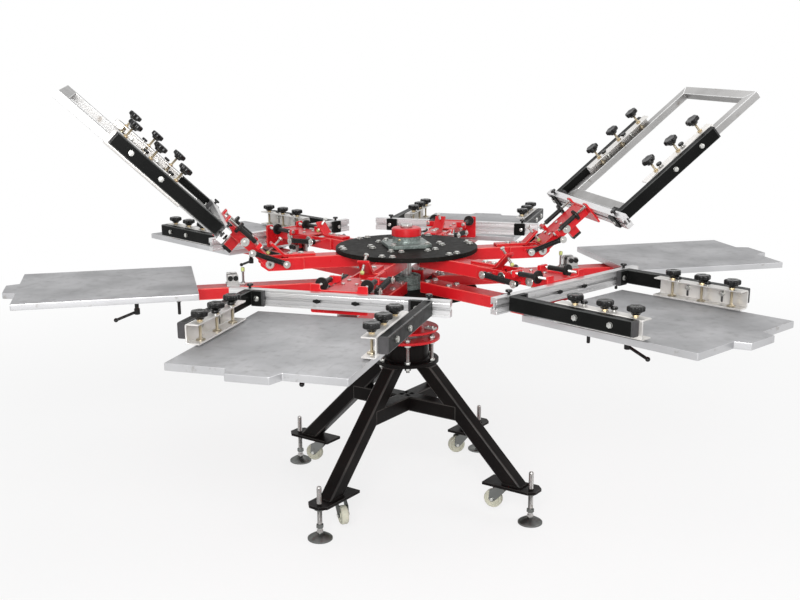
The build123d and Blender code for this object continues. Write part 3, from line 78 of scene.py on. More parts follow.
class Signal:
    """A shader socket that can stand in an arithmetic expression."""

    def __init__(self, net: "Net", socket: bpy.types.NodeSocket) -> None:
        """Wrap one output socket of a net."""
        self.net = net
        self.socket = socket

    def _maths(self, operation: str, first: object, second: object) -> "Signal":
        """Add one Math node."""
        return self.net.add("ShaderNodeMath", {"operation": operation}, {0: first, 1: second})

    def __add__(self, other: object) -> "Signal":
        """Sum."""
        return self._maths("ADD", self, other)

    def __radd__(self, other: object) -> "Signal":
        """Sum, reflected."""
        return self._maths("ADD", other, self)

    def __sub__(self, other: object) -> "Signal":
        """Difference."""
        return self._maths("SUBTRACT", self, other)

    def __rsub__(self, other: object) -> "Signal":
        """Difference, reflected."""
        return self._maths("SUBTRACT", other, self)

    def __mul__(self, other: object) -> "Signal":
        """Product."""
        return self._maths("MULTIPLY", self, other)

    def __rmul__(self, other: object) -> "Signal":
        """Product, reflected."""
        return self._maths("MULTIPLY", other, self)

    def spread(self, low: float, high: float) -> "Signal":
        """Stretch a range of this signal over zero to one.

        Args:
            low: The value that becomes zero.
            high: The value that becomes one.

        Returns:
            The stretched signal, kept between zero and one.
        """
        settings = {"clamp": True, "interpolation_type": "SMOOTHSTEP"}
        return self.net.add("ShaderNodeMapRange", settings,
                            {"Value": self, "From Min": low, "From Max": high})


class Net:
    """The nodes of one material or of the sky."""

    def __init__(self, owner: bpy.types.Material | bpy.types.World) -> None:
        """Empty the owner's nodes."""
        owner.use_nodes = True
        self.owner = owner
        self.tree = owner.node_tree
        self.tree.nodes.clear()

    @cached_property
    def own(self) -> Signal:
        """The surface's own coordinates, as each piece carries them."""
        return self.add("ShaderNodeAttribute", {"attribute_name": OWN}, {}, "Vector")

    def add(self, kind: str, settings: dict, inputs: dict, output: int | str = 0) -> Signal | None:
        """Add a node.

        Args:
            kind: The node's type.
            settings: Its properties.
            inputs: Values or signals of its input sockets.
            output: The socket that is handed back.

        Returns:
            The chosen output as a signal, or nothing from a node that has none.
        """
        node = self.tree.nodes.new(kind)
        for key, value in settings.items():
            setattr(node, key, value)
        for key, value in inputs.items():
            if isinstance(value, Signal):
                self.tree.links.new(value.socket, node.inputs[key])
            else:
                node.inputs[key].default_value = value
        return Signal(self, node.outputs[output]) if node.outputs else None

    def noise(self, scale: float, detail: float = 3, stretch: Point = (1, 1, 1)) -> Signal:
        """Cloudy noise over the surface.

        Args:
            scale: Features per metre.
            detail: Octaves.
            stretch: How much faster it changes along each axis.

        Returns:
            A signal around one half.
        """
        place = self.add("ShaderNodeMapping", {}, {"Vector": self.own, "Scale": stretch}, "Vector")
        return self.add("ShaderNodeTexNoise", {},
                        {"Vector": place, "Scale": scale, "Detail": detail}, 0)

    def mix(self, mask: Signal, first: object, second: object) -> Signal:
        """Blend two colours by a mask."""
        colours = [colour if isinstance(colour, Signal) else (*colour, 1)
                   for colour in (first, second)]
        inputs = {"Factor": mask, 6: colours[0], 7: colours[1]}
        return self.add("ShaderNodeMix", {"data_type": "RGBA"}, inputs, 2)

    def surface(self, colour: object, rough: object, metallic: object, height: Signal, depth: float,
                gloss: float = 0.5, tint: float = 1.0) -> bpy.types.Material:
        """Close the net with its shader.

        Args:
            colour: Base colour.
            rough: Roughness.
            metallic: How metallic it is.
            height: Relief that becomes bump.
            depth: Height of that relief in metres.
            gloss: Level of its mirror reflection.
            tint: How much of it a glancing view keeps.

        Returns:
            The finished material.
        """
        bump = self.add("ShaderNodeBump", {},
                        {"Height": height, "Distance": depth, "Strength": 1.0})
        base = colour if isinstance(colour, Signal) else (*colour, 1)
        inputs = {"Base Color": base, "Roughness": rough, "Metallic": metallic, "Normal": bump,
                  "Specular IOR Level": gloss, "Specular Tint": (tint, tint, tint, 1)}
        shader = self.add("ShaderNodeBsdfPrincipled", {}, inputs)
        self.add("ShaderNodeOutputMaterial", {}, {"Surface": shader})
        return self.owner


# Finishes


@dataclass(frozen=True)
class Paint:
    """Sprayed or powder coated paint, with specks and scuffs; its lighter copies on bevels are
    rubbed paint and a painted edge highlight.
    """

    colour: Colour
    shade: Colour
    rough: float
    peel: float = 0.00006
    peel_scale: float = 420.0
    scuff: Colour = (0.3, 0.3, 0.3)
    scuffed: float = 0.72
    gloss: float = 0.5

    def build(self, net: Net) -> bpy.types.Material:
        """Make the paint.

        Args:
            net: The empty net to fill.

        Returns:
            The material.
        """
        cloud = net.noise(7, 4)
        dust = net.noise(55, 5)
        streaks = net.noise(26, 4, (1, 9, 5))
        peel = net.noise(self.peel_scale, 2)
        base = net.mix(cloud.spread(0.35, 0.68), self.colour, self.shade)
        rubbed = streaks.spread(self.scuffed, self.scuffed + 0.1) * dust.spread(0.4, 0.6)
        base = net.mix(rubbed * 0.6, base, self.scuff)
        rough = self.rough + (dust - 0.5) * 0.25 + rubbed * 0.12
        return net.surface(base, rough, 0.0, peel, self.peel, self.gloss)


@dataclass(frozen=True)
class Hammertone:
    """Grey-green enamel that dries in small dimples."""

    colour: Colour
    vein: Colour
    rough: float

    def build(self, net: Net) -> bpy.types.Material:
        """Make the enamel.

        Args:
            net: The empty net to fill.

        Returns:
            The material.
        """
        cells = net.add("ShaderNodeTexVoronoi", {"feature": "SMOOTH_F1"},
                        {"Vector": net.own, "Scale": 210.0})
        cloud = net.noise(30, 3)
        base = net.mix(cells.spread(0.2, 0.7), self.colour, self.vein)
        rough = self.rough + (cloud - 0.5) * 0.2
        return net.surface(base, rough, 0.3, cells, 0.0004, 0.25, 0.7)


@dataclass(frozen=True)
class Metal:
    """Bare or plated metal with a grain, clouds and marks of use."""

    colour: Colour
    cloud: Colour
    stain: Colour
    rough: float
    grain: Point = (3, 60, 60)
    grain_rough: float = 0.12
    relief: float = 0.00002
    stained: float = 0.62
    stain_blur: float = 0.12
    metallic: float = 1.0
    gloss: float = 0.5
    tint: float = 0.8

    def build(self, net: Net) -> bpy.types.Material:
        """Make the metal.

        Args:
            net: The empty net to fill.

        Returns:
            The material.
        """
        grain = net.noise(14, 3, self.grain)
        cloud = net.noise(6, 5)
        spots = net.noise(38, 6)
        scratch = net.noise(9, 2, (1, 26, 8))
        base = net.mix(cloud.spread(0.3, 0.7), self.colour, self.cloud)
        base = net.mix(spots.spread(self.stained, self.stained + self.stain_blur) * 0.7,
                       base, self.stain)
        scratched = scratch.spread(0.66, 0.7)
        base = net.mix(scratched * 0.35, base, self.cloud)
        rough = self.rough + (grain - 0.5) * self.grain_rough + (cloud - 0.5) * 0.14
        rough = rough + scratched * 0.06
        return net.surface(base, rough, self.metallic, grain + scratched, self.relief,
                           self.gloss, self.tint)


@dataclass(frozen=True)
class Moulded:
    """Moulded plastic, nylon or rubber."""

    colour: Colour
    shade: Colour
    rough: float
    grain_scale: float = 260.0
    relief: float = 0.00003
    gloss: float = 0.5

    def build(self, net: Net) -> bpy.types.Material:
        """Make the plastic.

        Args:
            net: The empty net to fill.

        Returns:
            The material.
        """
        cloud = net.noise(24, 4)
        grain = net.noise(self.grain_scale, 3)
        base = net.mix(cloud.spread(0.4, 0.75), self.colour, self.shade)
        rough = self.rough + (cloud - 0.5) * 0.2
        return net.surface(base, rough, 0.0, grain, self.relief, self.gloss)


class Finish(Enum):
    """Every finish on the press: its look, its material slot and the finish of its edges, which is
    lighter for rubbed wear and a painted edge highlight.
    """

    # The _EDGE finishes go on the bevels and are lighter than their faces: rubbed wear and a
    # painted highlight along each edge.
    RED_EDGE = (Paint((0.72, 0.04, 0.04), (0.76, 0.13, 0.11), 0.28, gloss=0.4), "red_paint", None)
    RED = (Paint((0.6, 0.011, 0.017), (0.5, 0.008, 0.012), 0.32, scuff=(0.62, 0.09, 0.08),
                 gloss=0.3), "red_paint", "RED_EDGE")
    FRAME_EDGE = (Paint((0.014, 0.0125, 0.012), (0.05, 0.045, 0.042), 0.34, gloss=0.2),
                  "black_frame_paint", None)
    FRAME = (Paint((0.0055, 0.0045, 0.0045), (0.009, 0.0075, 0.007), 0.36,
                   scuff=(0.04, 0.035, 0.03), gloss=0.06), "black_frame_paint", "FRAME_EDGE")
    DISC_EDGE = (Paint((0.02, 0.019, 0.018), (0.08, 0.075, 0.07), 0.32, gloss=0.2),
                 "black_disc_paint", None)
    DISC = (Paint((0.007, 0.0065, 0.006), (0.013, 0.012, 0.0108), 0.42, scuff=(0.06, 0.055, 0.047),
                  scuffed=0.6, gloss=0.015), "black_disc_paint", "DISC_EDGE")
    ARM_EDGE = (Paint((0.025, 0.027, 0.026), (0.08, 0.08, 0.078), 0.3, gloss=0.3),
                "black_arm_paint", None)
    ARM = (Paint((0.006, 0.0062, 0.006), (0.009, 0.0092, 0.009), 0.36, scuff=(0.04, 0.04, 0.04),
                 gloss=0.04), "black_arm_paint", "ARM_EDGE")
    CAP = (Moulded((0.04, 0.0385, 0.04), (0.055, 0.053, 0.055), 0.5, gloss=0.3),
           "black_arm_paint", None)
    HAMMER = (Hammertone((0.24, 0.28, 0.262), (0.13, 0.155, 0.145), 0.34), "hammertone_paint", None)
    # Zinc darkened to paint the shade that falls on the feet and casters under the stand.
    DULL_ZINC = (Metal((0.2, 0.205, 0.2), (0.14, 0.145, 0.138), (0.09, 0.085, 0.072), 0.34,
                       (12, 12, 12), tint=0.4), "zinc_steel", None)
    STEEL = (Metal((0.5, 0.49, 0.48), (0.38, 0.37, 0.36), (0.2, 0.17, 0.14), 0.3),
             "machined_steel", None)
    ZINC = (Metal((0.62, 0.62, 0.6), (0.5, 0.5, 0.47), (0.34, 0.31, 0.24), 0.3, (12, 12, 12)),
            "zinc_steel", None)
    YELLOW_ZINC = (Metal((0.6, 0.53, 0.4), (0.46, 0.41, 0.32), (0.3, 0.24, 0.17), 0.32,
                         (12, 12, 12)), "zinc_steel", None)
    BRASS = (Metal((0.7, 0.56, 0.34), (0.58, 0.46, 0.28), (0.3, 0.24, 0.12), 0.3, (12, 12, 12)),
             "zinc_steel", None)
    OXIDE = (Metal((0.012, 0.012, 0.012), (0.022, 0.021, 0.02), (0.05, 0.042, 0.036), 0.36,
                   (8, 8, 8), metallic=0.35, gloss=0.3), "black_oxide", None)
    # PALLET_EDGE: brighter metal for the pallet's bevels and sides, with a painted edge highlight.
    PALLET_EDGE = (Metal((0.6, 0.6, 0.61), (0.5, 0.5, 0.51), (0.38, 0.365, 0.35), 0.34,
                         relief=0.000004), "pallet_aluminium", None)
    PALLET = (Metal((0.5, 0.5, 0.51), (0.35, 0.35, 0.358), (0.2, 0.195, 0.195), 0.46, (2, 34, 34),
                    grain_rough=0.16, relief=0.00001, stained=0.46, stain_blur=0.5, metallic=0.5,
                    gloss=0.2, tint=0.5), "pallet_aluminium", "PALLET_EDGE")
    # EXTRUSION_EDGE: brighter aluminium on the bevels, a painted edge highlight.
    EXTRUSION_EDGE = (Metal((0.8, 0.8, 0.8), (0.72, 0.72, 0.71), (0.6, 0.58, 0.55), 0.28),
                      "extruded_aluminium", None)
    EXTRUSION = (Metal((0.7, 0.695, 0.7), (0.62, 0.615, 0.615), (0.46, 0.44, 0.42), 0.38,
                       (30, 1, 30), grain_rough=0.06, relief=0.000001, metallic=0.8),
                 "extruded_aluminium", "EXTRUSION_EDGE")
    RAIL = (Metal((0.78, 0.76, 0.74), (0.66, 0.64, 0.61), (0.46, 0.41, 0.36), 0.34, (1, 30, 30),
                  grain_rough=0.05, relief=0.0000005, stained=0.66, metallic=0.6),
            "extruded_aluminium", "EXTRUSION_EDGE")
    SCREEN = (Metal((0.4, 0.395, 0.39), (0.3, 0.295, 0.29), (0.2, 0.18, 0.16), 0.4, (8, 8, 8),
                    grain_rough=0.06, relief=0.000001, tint=0.7), "screen_aluminium",
              "EXTRUSION_EDGE")
    KNOB = (Moulded((0.0055, 0.0055, 0.0055), (0.009, 0.009, 0.009), 0.2, gloss=0.3),
            "knob_plastic", None)
    NYLON = (Moulded((0.52, 0.515, 0.42), (0.42, 0.41, 0.33), 0.5, gloss=0.15), "white_nylon", None)
    RUBBER = (Moulded((0.5, 0.56, 0.2), (0.4, 0.46, 0.16), 0.45, gloss=0.3), "white_nylon", None)

    def __init__(self, look: object, slot: str, edge: str | None) -> None:
        """Keep the parts of one finish."""
        self.look = look
        self.slot = slot
        self.edge = edge

    def material(self) -> bpy.types.Material:
        """The finish's material, made the first time that it is asked for."""
        name = self.name.lower()
        found = bpy.data.materials.get(name)
        return found if found else self.look.build(Net(bpy.data.materials.new(name)))


# Places


class Head(Enum):
    """The six print heads: station number and tilt at rest in degrees."""

    RIGHT = (0, 40.0)
    REAR_RIGHT = (1, 0.0)
    REAR_LEFT = (2, 0.0)
    LEFT = (3, 44.0)
    FRONT_LEFT = (4, 0.0)
    FRONT_RIGHT = (5, 0.0)

    def __init__(self, index: int, tilt: float) -> None:
        """Keep the head's station and its tilt."""
        self.index = index
        self.tilt = tilt

    @property
    def label(self) -> str:
        """The name that the head's nodes and bodies begin with."""
        return self.name.lower()

    @property
    def holds_screen(self) -> bool:
        """Whether a screen frame is clamped in the head."""
        return self.tilt > 0

    def place(self) -> Matrix:
        """The head's place: its tilt about the pivot, then its station."""
        x, z = PIVOT
        turn = Matrix.Rotation(-math.radians(self.tilt), 4, "Y")
        return station(self.index) @ shift(x, 0, z) @ turn @ shift(-x, 0, -z)


def station(index: int) -> Matrix:
    """A station's place, from its own frame to the press's."""
    turn = Matrix.Rotation(math.radians(360 / STATION_COUNT * index), 4, "Z")
    return Matrix.Translation((0, 0, PALLET_TOP * MM)) @ turn


def stations() -> list[Matrix]:
    """The places of all stations."""
    return [station(index) for index in range(STATION_COUNT)]


def shift(x: float, y: float, z: float) -> Matrix:
    """A move in millimetres."""
    return Matrix.Translation(Vector((x, y, z)) * MM)


def facing(x: float, y: float, z: float, direction: Point) -> Matrix:
    """A place in millimetres whose own Z axis points along a direction."""
    return shift(x, y, z) @ Vector(direction).to_track_quat("Z", "Y").to_matrix().to_4x4()


def rounded(points: Outline, radius: float, steps: int = 4) -> Outline:
    """Round the corners of a closed outline.

    Args:
        points: The corners in order.
        radius: The radius asked for, made smaller where a side is too short.
        steps: Points on each corner.

    Returns:
        The outline with arcs for corners.
    """
    result: Outline = []
    straight = math.radians(175)
    most = 0.45
    for index, corner in enumerate(points):
        here = Vector(corner)
        back = Vector(points[index - 1]) - here
        ahead = Vector(points[(index + 1) % len(points)]) - here
        angle = back.angle(ahead)
        if angle > straight:
            result.append(corner)
            continue
        reach = min(radius / math.tan(angle / 2), back.length * most, ahead.length * most)
        centre_way = (back.normalized() + ahead.normalized()).normalized()
        centre = here + centre_way * (reach / math.cos(angle / 2))
        first = here + back.normalized() * reach - centre
        last = here + ahead.normalized() * reach - centre
        for step in range(steps + 1):
            spoke = first.slerp(last, step / steps) * first.length if first.length > 1e-9 else first
            result.append(tuple(centre + spoke))
    return result


def disc_profile(bore: float, radius: float, span: Span, edge: float = 1.0) -> Outline:
    """The closed profile of a bored disc with chamfered rims.

    Args:
        bore: Radius of the bore.
        radius: Outer radius.
        span: Lower and upper faces.
        edge: Size of the chamfers.

    Returns:
        Radius and height pairs.
    """
    low, high = span
    return [(bore, low), (radius - edge, low), (radius, low + edge), (radius, high - edge),
            (radius - edge, high), (bore, high)]


def threaded(radius: float, span: Span, pitch: float, depth: float) -> Outline:
    """A thread's outline as radius and height pairs, from the low end to the high end.

    Args:
        radius: Outer radius.
        span: Low and high ends.
        pitch: Distance between crests.
        depth: Depth of the grooves.

    Returns:
        The zigzag line.
    """
    count = max(1, int((span[1] - span[0]) / pitch))
    step = (span[1] - span[0]) / count
    line: Outline = [(radius - depth, span[0])]
    for index in range(count):
        line.append((radius, span[0] + step * (index + 0.5)))
        line.append((radius - depth, span[0] + step * (index + 1)))
    return line


# Modelling


class Across(Enum):
    """The axis that a plate's outline is extruded along."""

    X = Matrix(((0, 0, 1, 0), (1, 0, 0, 0), (0, 1, 0, 0), (0, 0, 0, 1)))
    Y = Matrix(((1, 0, 0, 0), (0, 0, 1, 0), (0, 1, 0, 0), (0, 0, 0, 1)))
    Z = Matrix.Identity(4)


@dataclass
class Bench:
    """The work bench: it adds primitives, shapes them in edit mode and joins them into pieces."""

    loose: list = field(default_factory=list)

    def mark(self) -> int:
        """A mark to name everything made after it."""
        return len(self.loose)

    def _edit(self) -> None:
        """Enter edit mode on the piece in hand with everything selected."""
        bpy.ops.object.mode_set(mode="EDIT")
        bpy.ops.mesh.select_mode(type="EDGE")
        bpy.ops.mesh.select_all(action="SELECT")

    def _keep(self, finish: Finish) -> bpy.types.Object:
        """Put the new primitive's place in its mesh, give it its finish and lay it with the rest.

        Args:
            finish: The finish of its faces, whose lighter edge form, rubbed paint with a painted
                highlight, goes on the edges.

        Returns:
            The piece.
        """
        bpy.ops.object.transform_apply(location=True, rotation=True, scale=True)
        piece = bpy.context.active_object
        piece.data.materials.append(finish.material())
        if finish.edge:
            piece.data.materials.append(Finish[finish.edge].material())
        self.loose.append(piece)
        return piece

    def soften(self, width: float, finish: Finish, steps: int = 2) -> None:
        """Bevel the sharp edges of the piece in hand.

        Args:
            width: Width of the bevel in millimetres.
            finish: The piece's finish.
            steps: Segments of the bevel.
        """
        if width <= 0:
            return
        self._edit()
        bpy.ops.mesh.select_all(action="DESELECT")
        sharp = math.radians(32)
        bpy.ops.mesh.edges_select_sharp(sharpness=sharp)
        # The bevel faces take the lighter edge finish: rubbed paint and a painted edge highlight.
        slot = 1 if finish.edge else -1
        bpy.ops.mesh.bevel(offset=width * MM, segments=steps, affect="EDGES", clamp_overlap=True,
                           material=slot)
        bpy.ops.object.mode_set(mode="OBJECT")

    def block(self, x: Span, y: Span, z: Span, finish: Finish, edge: float = 0.8,
              steps: int = 2) -> None:
        """A bar or block between limits, with softened edges."""
        centre = [(low + high) / 2 * MM for low, high in (x, y, z)]
        size = [(high - low) * MM for low, high in (x, y, z)]
        bpy.ops.object.select_all(action="DESELECT")
        bpy.ops.mesh.primitive_cube_add(size=1, location=centre, scale=size)
        self._keep(finish)
        self.soften(edge, finish, steps)

    def rod(self, start: Point, end: Point, radius: float, finish: Finish, edge: float = 0.5,
            sides: int = 28) -> None:
        """A round or hexagonal bar between two points, with turned ends."""
        first = Vector(start) * MM
        run = Vector(end) * MM - first
        angles = run.to_track_quat("Z", "Y").to_euler()
        bpy.ops.object.select_all(action="DESELECT")
        bpy.ops.mesh.primitive_cylinder_add(vertices=sides, radius=radius * MM, depth=run.length,
                                            location=first + run / 2, rotation=angles)
        self._keep(finish)
        self.soften(edge, finish)

    def plate(self, outline: Outline, span: Span, across: Across, finish: Finish, edge: float = 0.8,
              steps: int = 2) -> None:
        """A plate or profile: an outline laid on a ring of points and extruded along an axis.

        Args:
            outline: Corners in the plane square to the axis, in millimetres.
            span: Limits along the axis.
            across: The axis.
            finish: Finish of the faces.
            edge: Width of the softened edges.
            steps: Segments of that bevel.
        """
        bpy.ops.object.select_all(action="DESELECT")
        bpy.ops.mesh.primitive_circle_add(vertices=len(outline), fill_type="NGON")
        mesh = bpy.context.active_object.data
        for vertex, (first, second) in zip(mesh.vertices, outline):
            vertex.co = Vector((first, second, span[0])) * MM
        self._edit()
        rise = {"value": (0, 0, (span[1] - span[0]) * MM)}
        bpy.ops.mesh.extrude_region_move(TRANSFORM_OT_translate=rise)
        bpy.ops.mesh.select_all(action="SELECT")
        bpy.ops.object.mode_set(mode="OBJECT")
        mesh.transform(across.value)
        self._edit()
        bpy.ops.mesh.normals_make_consistent(inside=False)
        bpy.ops.object.mode_set(mode="OBJECT")
        self._keep(finish)
        self.soften(edge, finish, steps)

    def bright_sides(self) -> None:
        """Give the lighter edge finish to the upright faces of the piece in hand: milled metal,
        with a painted highlight where the light meets those faces.
        """
        for face in self.loose[-1].data.polygons:
            if abs(face.normal.z) < 0.5:
                face.material_index = 1

    def turned(self, profile: Outline, place: Matrix, finish: Finish, closed: bool = False,
               steps: int = 36) -> bpy.types.Object:
        """A turned piece: a profile of radius and height pairs, spun round its axis.

        Args:
            profile: The profile in millimetres.
            place: Where the axis stands.
            finish: Its finish.
            closed: Whether the profile is a closed ring clear of the axis.
            steps: Segments of the spin.

        Returns:
            The piece.
        """
        bpy.ops.object.select_all(action="DESELECT")
        bpy.ops.mesh.primitive_circle_add(vertices=len(profile), fill_type="NOTHING")
        piece = bpy.context.active_object
        for vertex, (radius, height) in zip(piece.data.vertices, profile):
            vertex.co = Vector((radius, 0, height)) * MM
        self._edit()
        if not closed:
            bpy.ops.mesh.select_all(action="DESELECT")
            work = bmesh.from_edit_mesh(piece.data)
            work.verts.ensure_lookup_table()
            work.edges.get((work.verts[0], work.verts[-1])).select_set(True)
            bmesh.update_edit_mesh(piece.data)
            bpy.ops.mesh.delete(type="EDGE")
            bpy.ops.mesh.select_all(action="SELECT")
        bpy.ops.mesh.spin(steps=steps, angle=2 * math.pi, center=(0, 0, 0), axis=(0, 0, 1))
        bpy.ops.mesh.select_all(action="SELECT")
        seam = 0.002 * MM
        bpy.ops.mesh.remove_doubles(threshold=seam)
        bpy.ops.mesh.normals_make_consistent(inside=False)
        bpy.ops.object.mode_set(mode="OBJECT")
        piece.data.transform(place)
        return self._keep(finish)

    def coil(self, place: Matrix, radius: float, wire: float, length: float, turns: int,
             finish: Finish) -> None:
        """A wound spring: a ring of wire carried round and along the axis by a Screw modifier.

        Args:
            place: Where the coil starts, its own Z axis along it.
            radius: Radius to the wire's middle.
            wire: Radius of the wire.
            length: Length of the coil.
            turns: Number of turns.
            finish: Its finish.
        """
        bpy.ops.object.select_all(action="DESELECT")
        turn = (math.pi / 2, 0, 0)
        bpy.ops.mesh.primitive_circle_add(vertices=8, radius=wire * MM,
                                          location=(radius * MM, 0, 0), rotation=turn,
                                          fill_type="NGON")
        bpy.ops.object.transform_apply(location=True, rotation=True, scale=True)
        piece = bpy.context.active_object
        screw = piece.modifiers.new("wind", "SCREW")
        screw.axis = "Z"
        screw.steps = screw.render_steps = 20
        screw.iterations = turns
        screw.screw_offset = length / turns * MM
        screw.use_merge_vertices = True
        bpy.ops.object.modifier_apply(modifier=screw.name)
        self._edit()
        bpy.ops.mesh.normals_make_consistent(inside=False)
        bpy.ops.object.mode_set(mode="OBJECT")
        piece.data.transform(place)
        self._keep(finish)

    def own_places(self, piece: bpy.types.Object, offset: Point = (0, 0, 0)) -> None:
        """Write where each point lies on the piece as made, which its finish reads.

        Args:
            piece: The piece.
            offset: Added to a copy's places, so that copies differ in their marks.
        """
        mesh = piece.data
        known = mesh.attributes.get(OWN)
        if known is None:
            known = mesh.attributes.new(OWN, "FLOAT_VECTOR", "POINT")
            for value, vertex in zip(known.data, mesh.vertices):
                value.vector = vertex.co
        elif any(offset):
            move = Vector(offset)
            for value in known.data:
                value.vector = Vector(value.vector) + move

    def join(self, mark: int) -> bpy.types.Object:
        """Join everything made since a mark into one piece.

        Args:
            mark: The mark.

        Returns:
            The joined piece, which is laid with the rest.
        """
        made = self.loose[mark:]
        del self.loose[mark:]
        bpy.ops.object.select_all(action="DESELECT")
        for piece in made:
            self.own_places(piece)
            piece.select_set(True)
        bpy.context.view_layer.objects.active = made[0]
        if len(made) > 1:
            bpy.ops.object.join()
        self.loose.append(made[0])
        return made[0]

    def pair(self, mark: int) -> None:
        """Mirror everything made since a mark across the arm, keeping both sides."""
        piece = self.join(mark)
        mirror = piece.modifiers.new("other side", "MIRROR")
        mirror.use_axis = (False, True, False)
        mirror.use_mirror_merge = False
        bpy.ops.object.modifier_apply(modifier=mirror.name)

    def copy(self, piece: bpy.types.Object, place: Matrix, number: int) -> bpy.types.Object:
        """Copy a piece with its own mesh to a place.

        Args:
            piece: The piece.
            place: The copy's place.
            number: The copy's number, which shifts its marks.

        Returns:
            The copy.
        """
        twin = piece.copy()
        twin.data = piece.data.copy()
        bpy.context.scene.collection.objects.link(twin)
        self.own_places(twin, tuple(number * step for step in COPY_SHIFT))
        twin.data.transform(place)
        return twin

    def repeat(self, mark: int, places: Sequence[Matrix]) -> None:
        """Put a copy of everything made since a mark at each place, in its stead.

        Args:
            mark: The mark.
            places: Where the copies go.
        """
        pattern = self.join(mark)
        self.loose.pop()
        for number, place in enumerate(places):
            self.loose.append(self.copy(pattern, place, number))
        bpy.data.objects.remove(pattern)
        self.join(mark)

    def finish_piece(self, mark: int, smooth: float = 34.0) -> bpy.types.Object:
        """Join and shade everything made since a mark, and take it off the bench.

        Args:
            mark: The mark.
            smooth: Edges sharper than this many degrees stay sharp.

        Returns:
            The piece.
        """
        piece = self.join(mark)
        self.loose.pop()
        bpy.ops.object.shade_smooth_by_angle(angle=math.radians(smooth))
        weigh = piece.modifiers.new("flat faces", "WEIGHTED_NORMAL")
        weigh.keep_sharp = True
        bpy.ops.object.modifier_apply(modifier=weigh.name)
        return piece

    def deliver(self, piece: bpy.types.Object, name: str, body: str, nodes: Sequence[str]) -> None:
        """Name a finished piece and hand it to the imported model.

        Args:
            piece: The piece.
            name: Its name.
            body: The body that it rides on.
            nodes: The nodes that it stands for.
        """
        piece.name = name
        piece.data.name = name
        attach(piece, body)
        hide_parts(*nodes)
        LOG.info("%s: %d faces", name, len(piece.data.polygons))

    def present(self, mark: int, name: str, body: str, nodes: Sequence[str]) -> None:
        """Finish everything made since a mark and hand it over as one piece.

        Args:
            mark: The mark.
            name: The piece's name.
            body: The body that it rides on.
            nodes: The nodes that it stands for.
        """
        self.deliver(self.finish_piece(mark), name, body, nodes)

    def give_heads(self, mark: int, part: str, framed: bool = False) -> None:
        """Finish everything made since a mark and hand over a copy of it for each head.

        Args:
            mark: The mark.
            part: What a node's name adds to its head's.
            framed: Whether only the heads that hold a screen frame have it.
        """
        piece = self.finish_piece(mark)
        for head in Head:
            if head.holds_screen or not framed:
                twin = self.copy(piece, head.place(), head.index)
                name = f"{head.label}_{part}"
                self.deliver(twin, f"{name}_dressed", f"{head.label}_head", [name])
        bpy.data.objects.remove(piece)


BENCH = Bench()


def nut(place: Matrix, radius: float, height: float, finish: Finish, washer: float = 0.0) -> None:
    """A hexagon nut or bolt head on its seat, with a washer under it where one is asked for.

    Args:
        place: The seat, its own Z axis along the bolt.
        radius: Radius over the corners.
        height: Height of the hexagon.
        finish: Its finish.
        washer: Radius of the washer, or zero for none.
    """
    mark = BENCH.mark()
    low = 0.0
    if washer:
        low = WASHER_HEIGHT
        BENCH.rod((0, 0, 0), (0, 0, low), washer, finish, 0.3, 24)
    BENCH.rod((0, 0, low), (0, 0, height), radius, finish, radius * 0.1, 6)
    crown = radius * 0.74
    dome = [(0, low), (crown, low), (crown, height), (crown * 0.8, height + 0.4), (0, height + 0.5)]
    BENCH.turned(dome, HERE, finish, steps=18)
    BENCH.join(mark).data.transform(place)


# Base


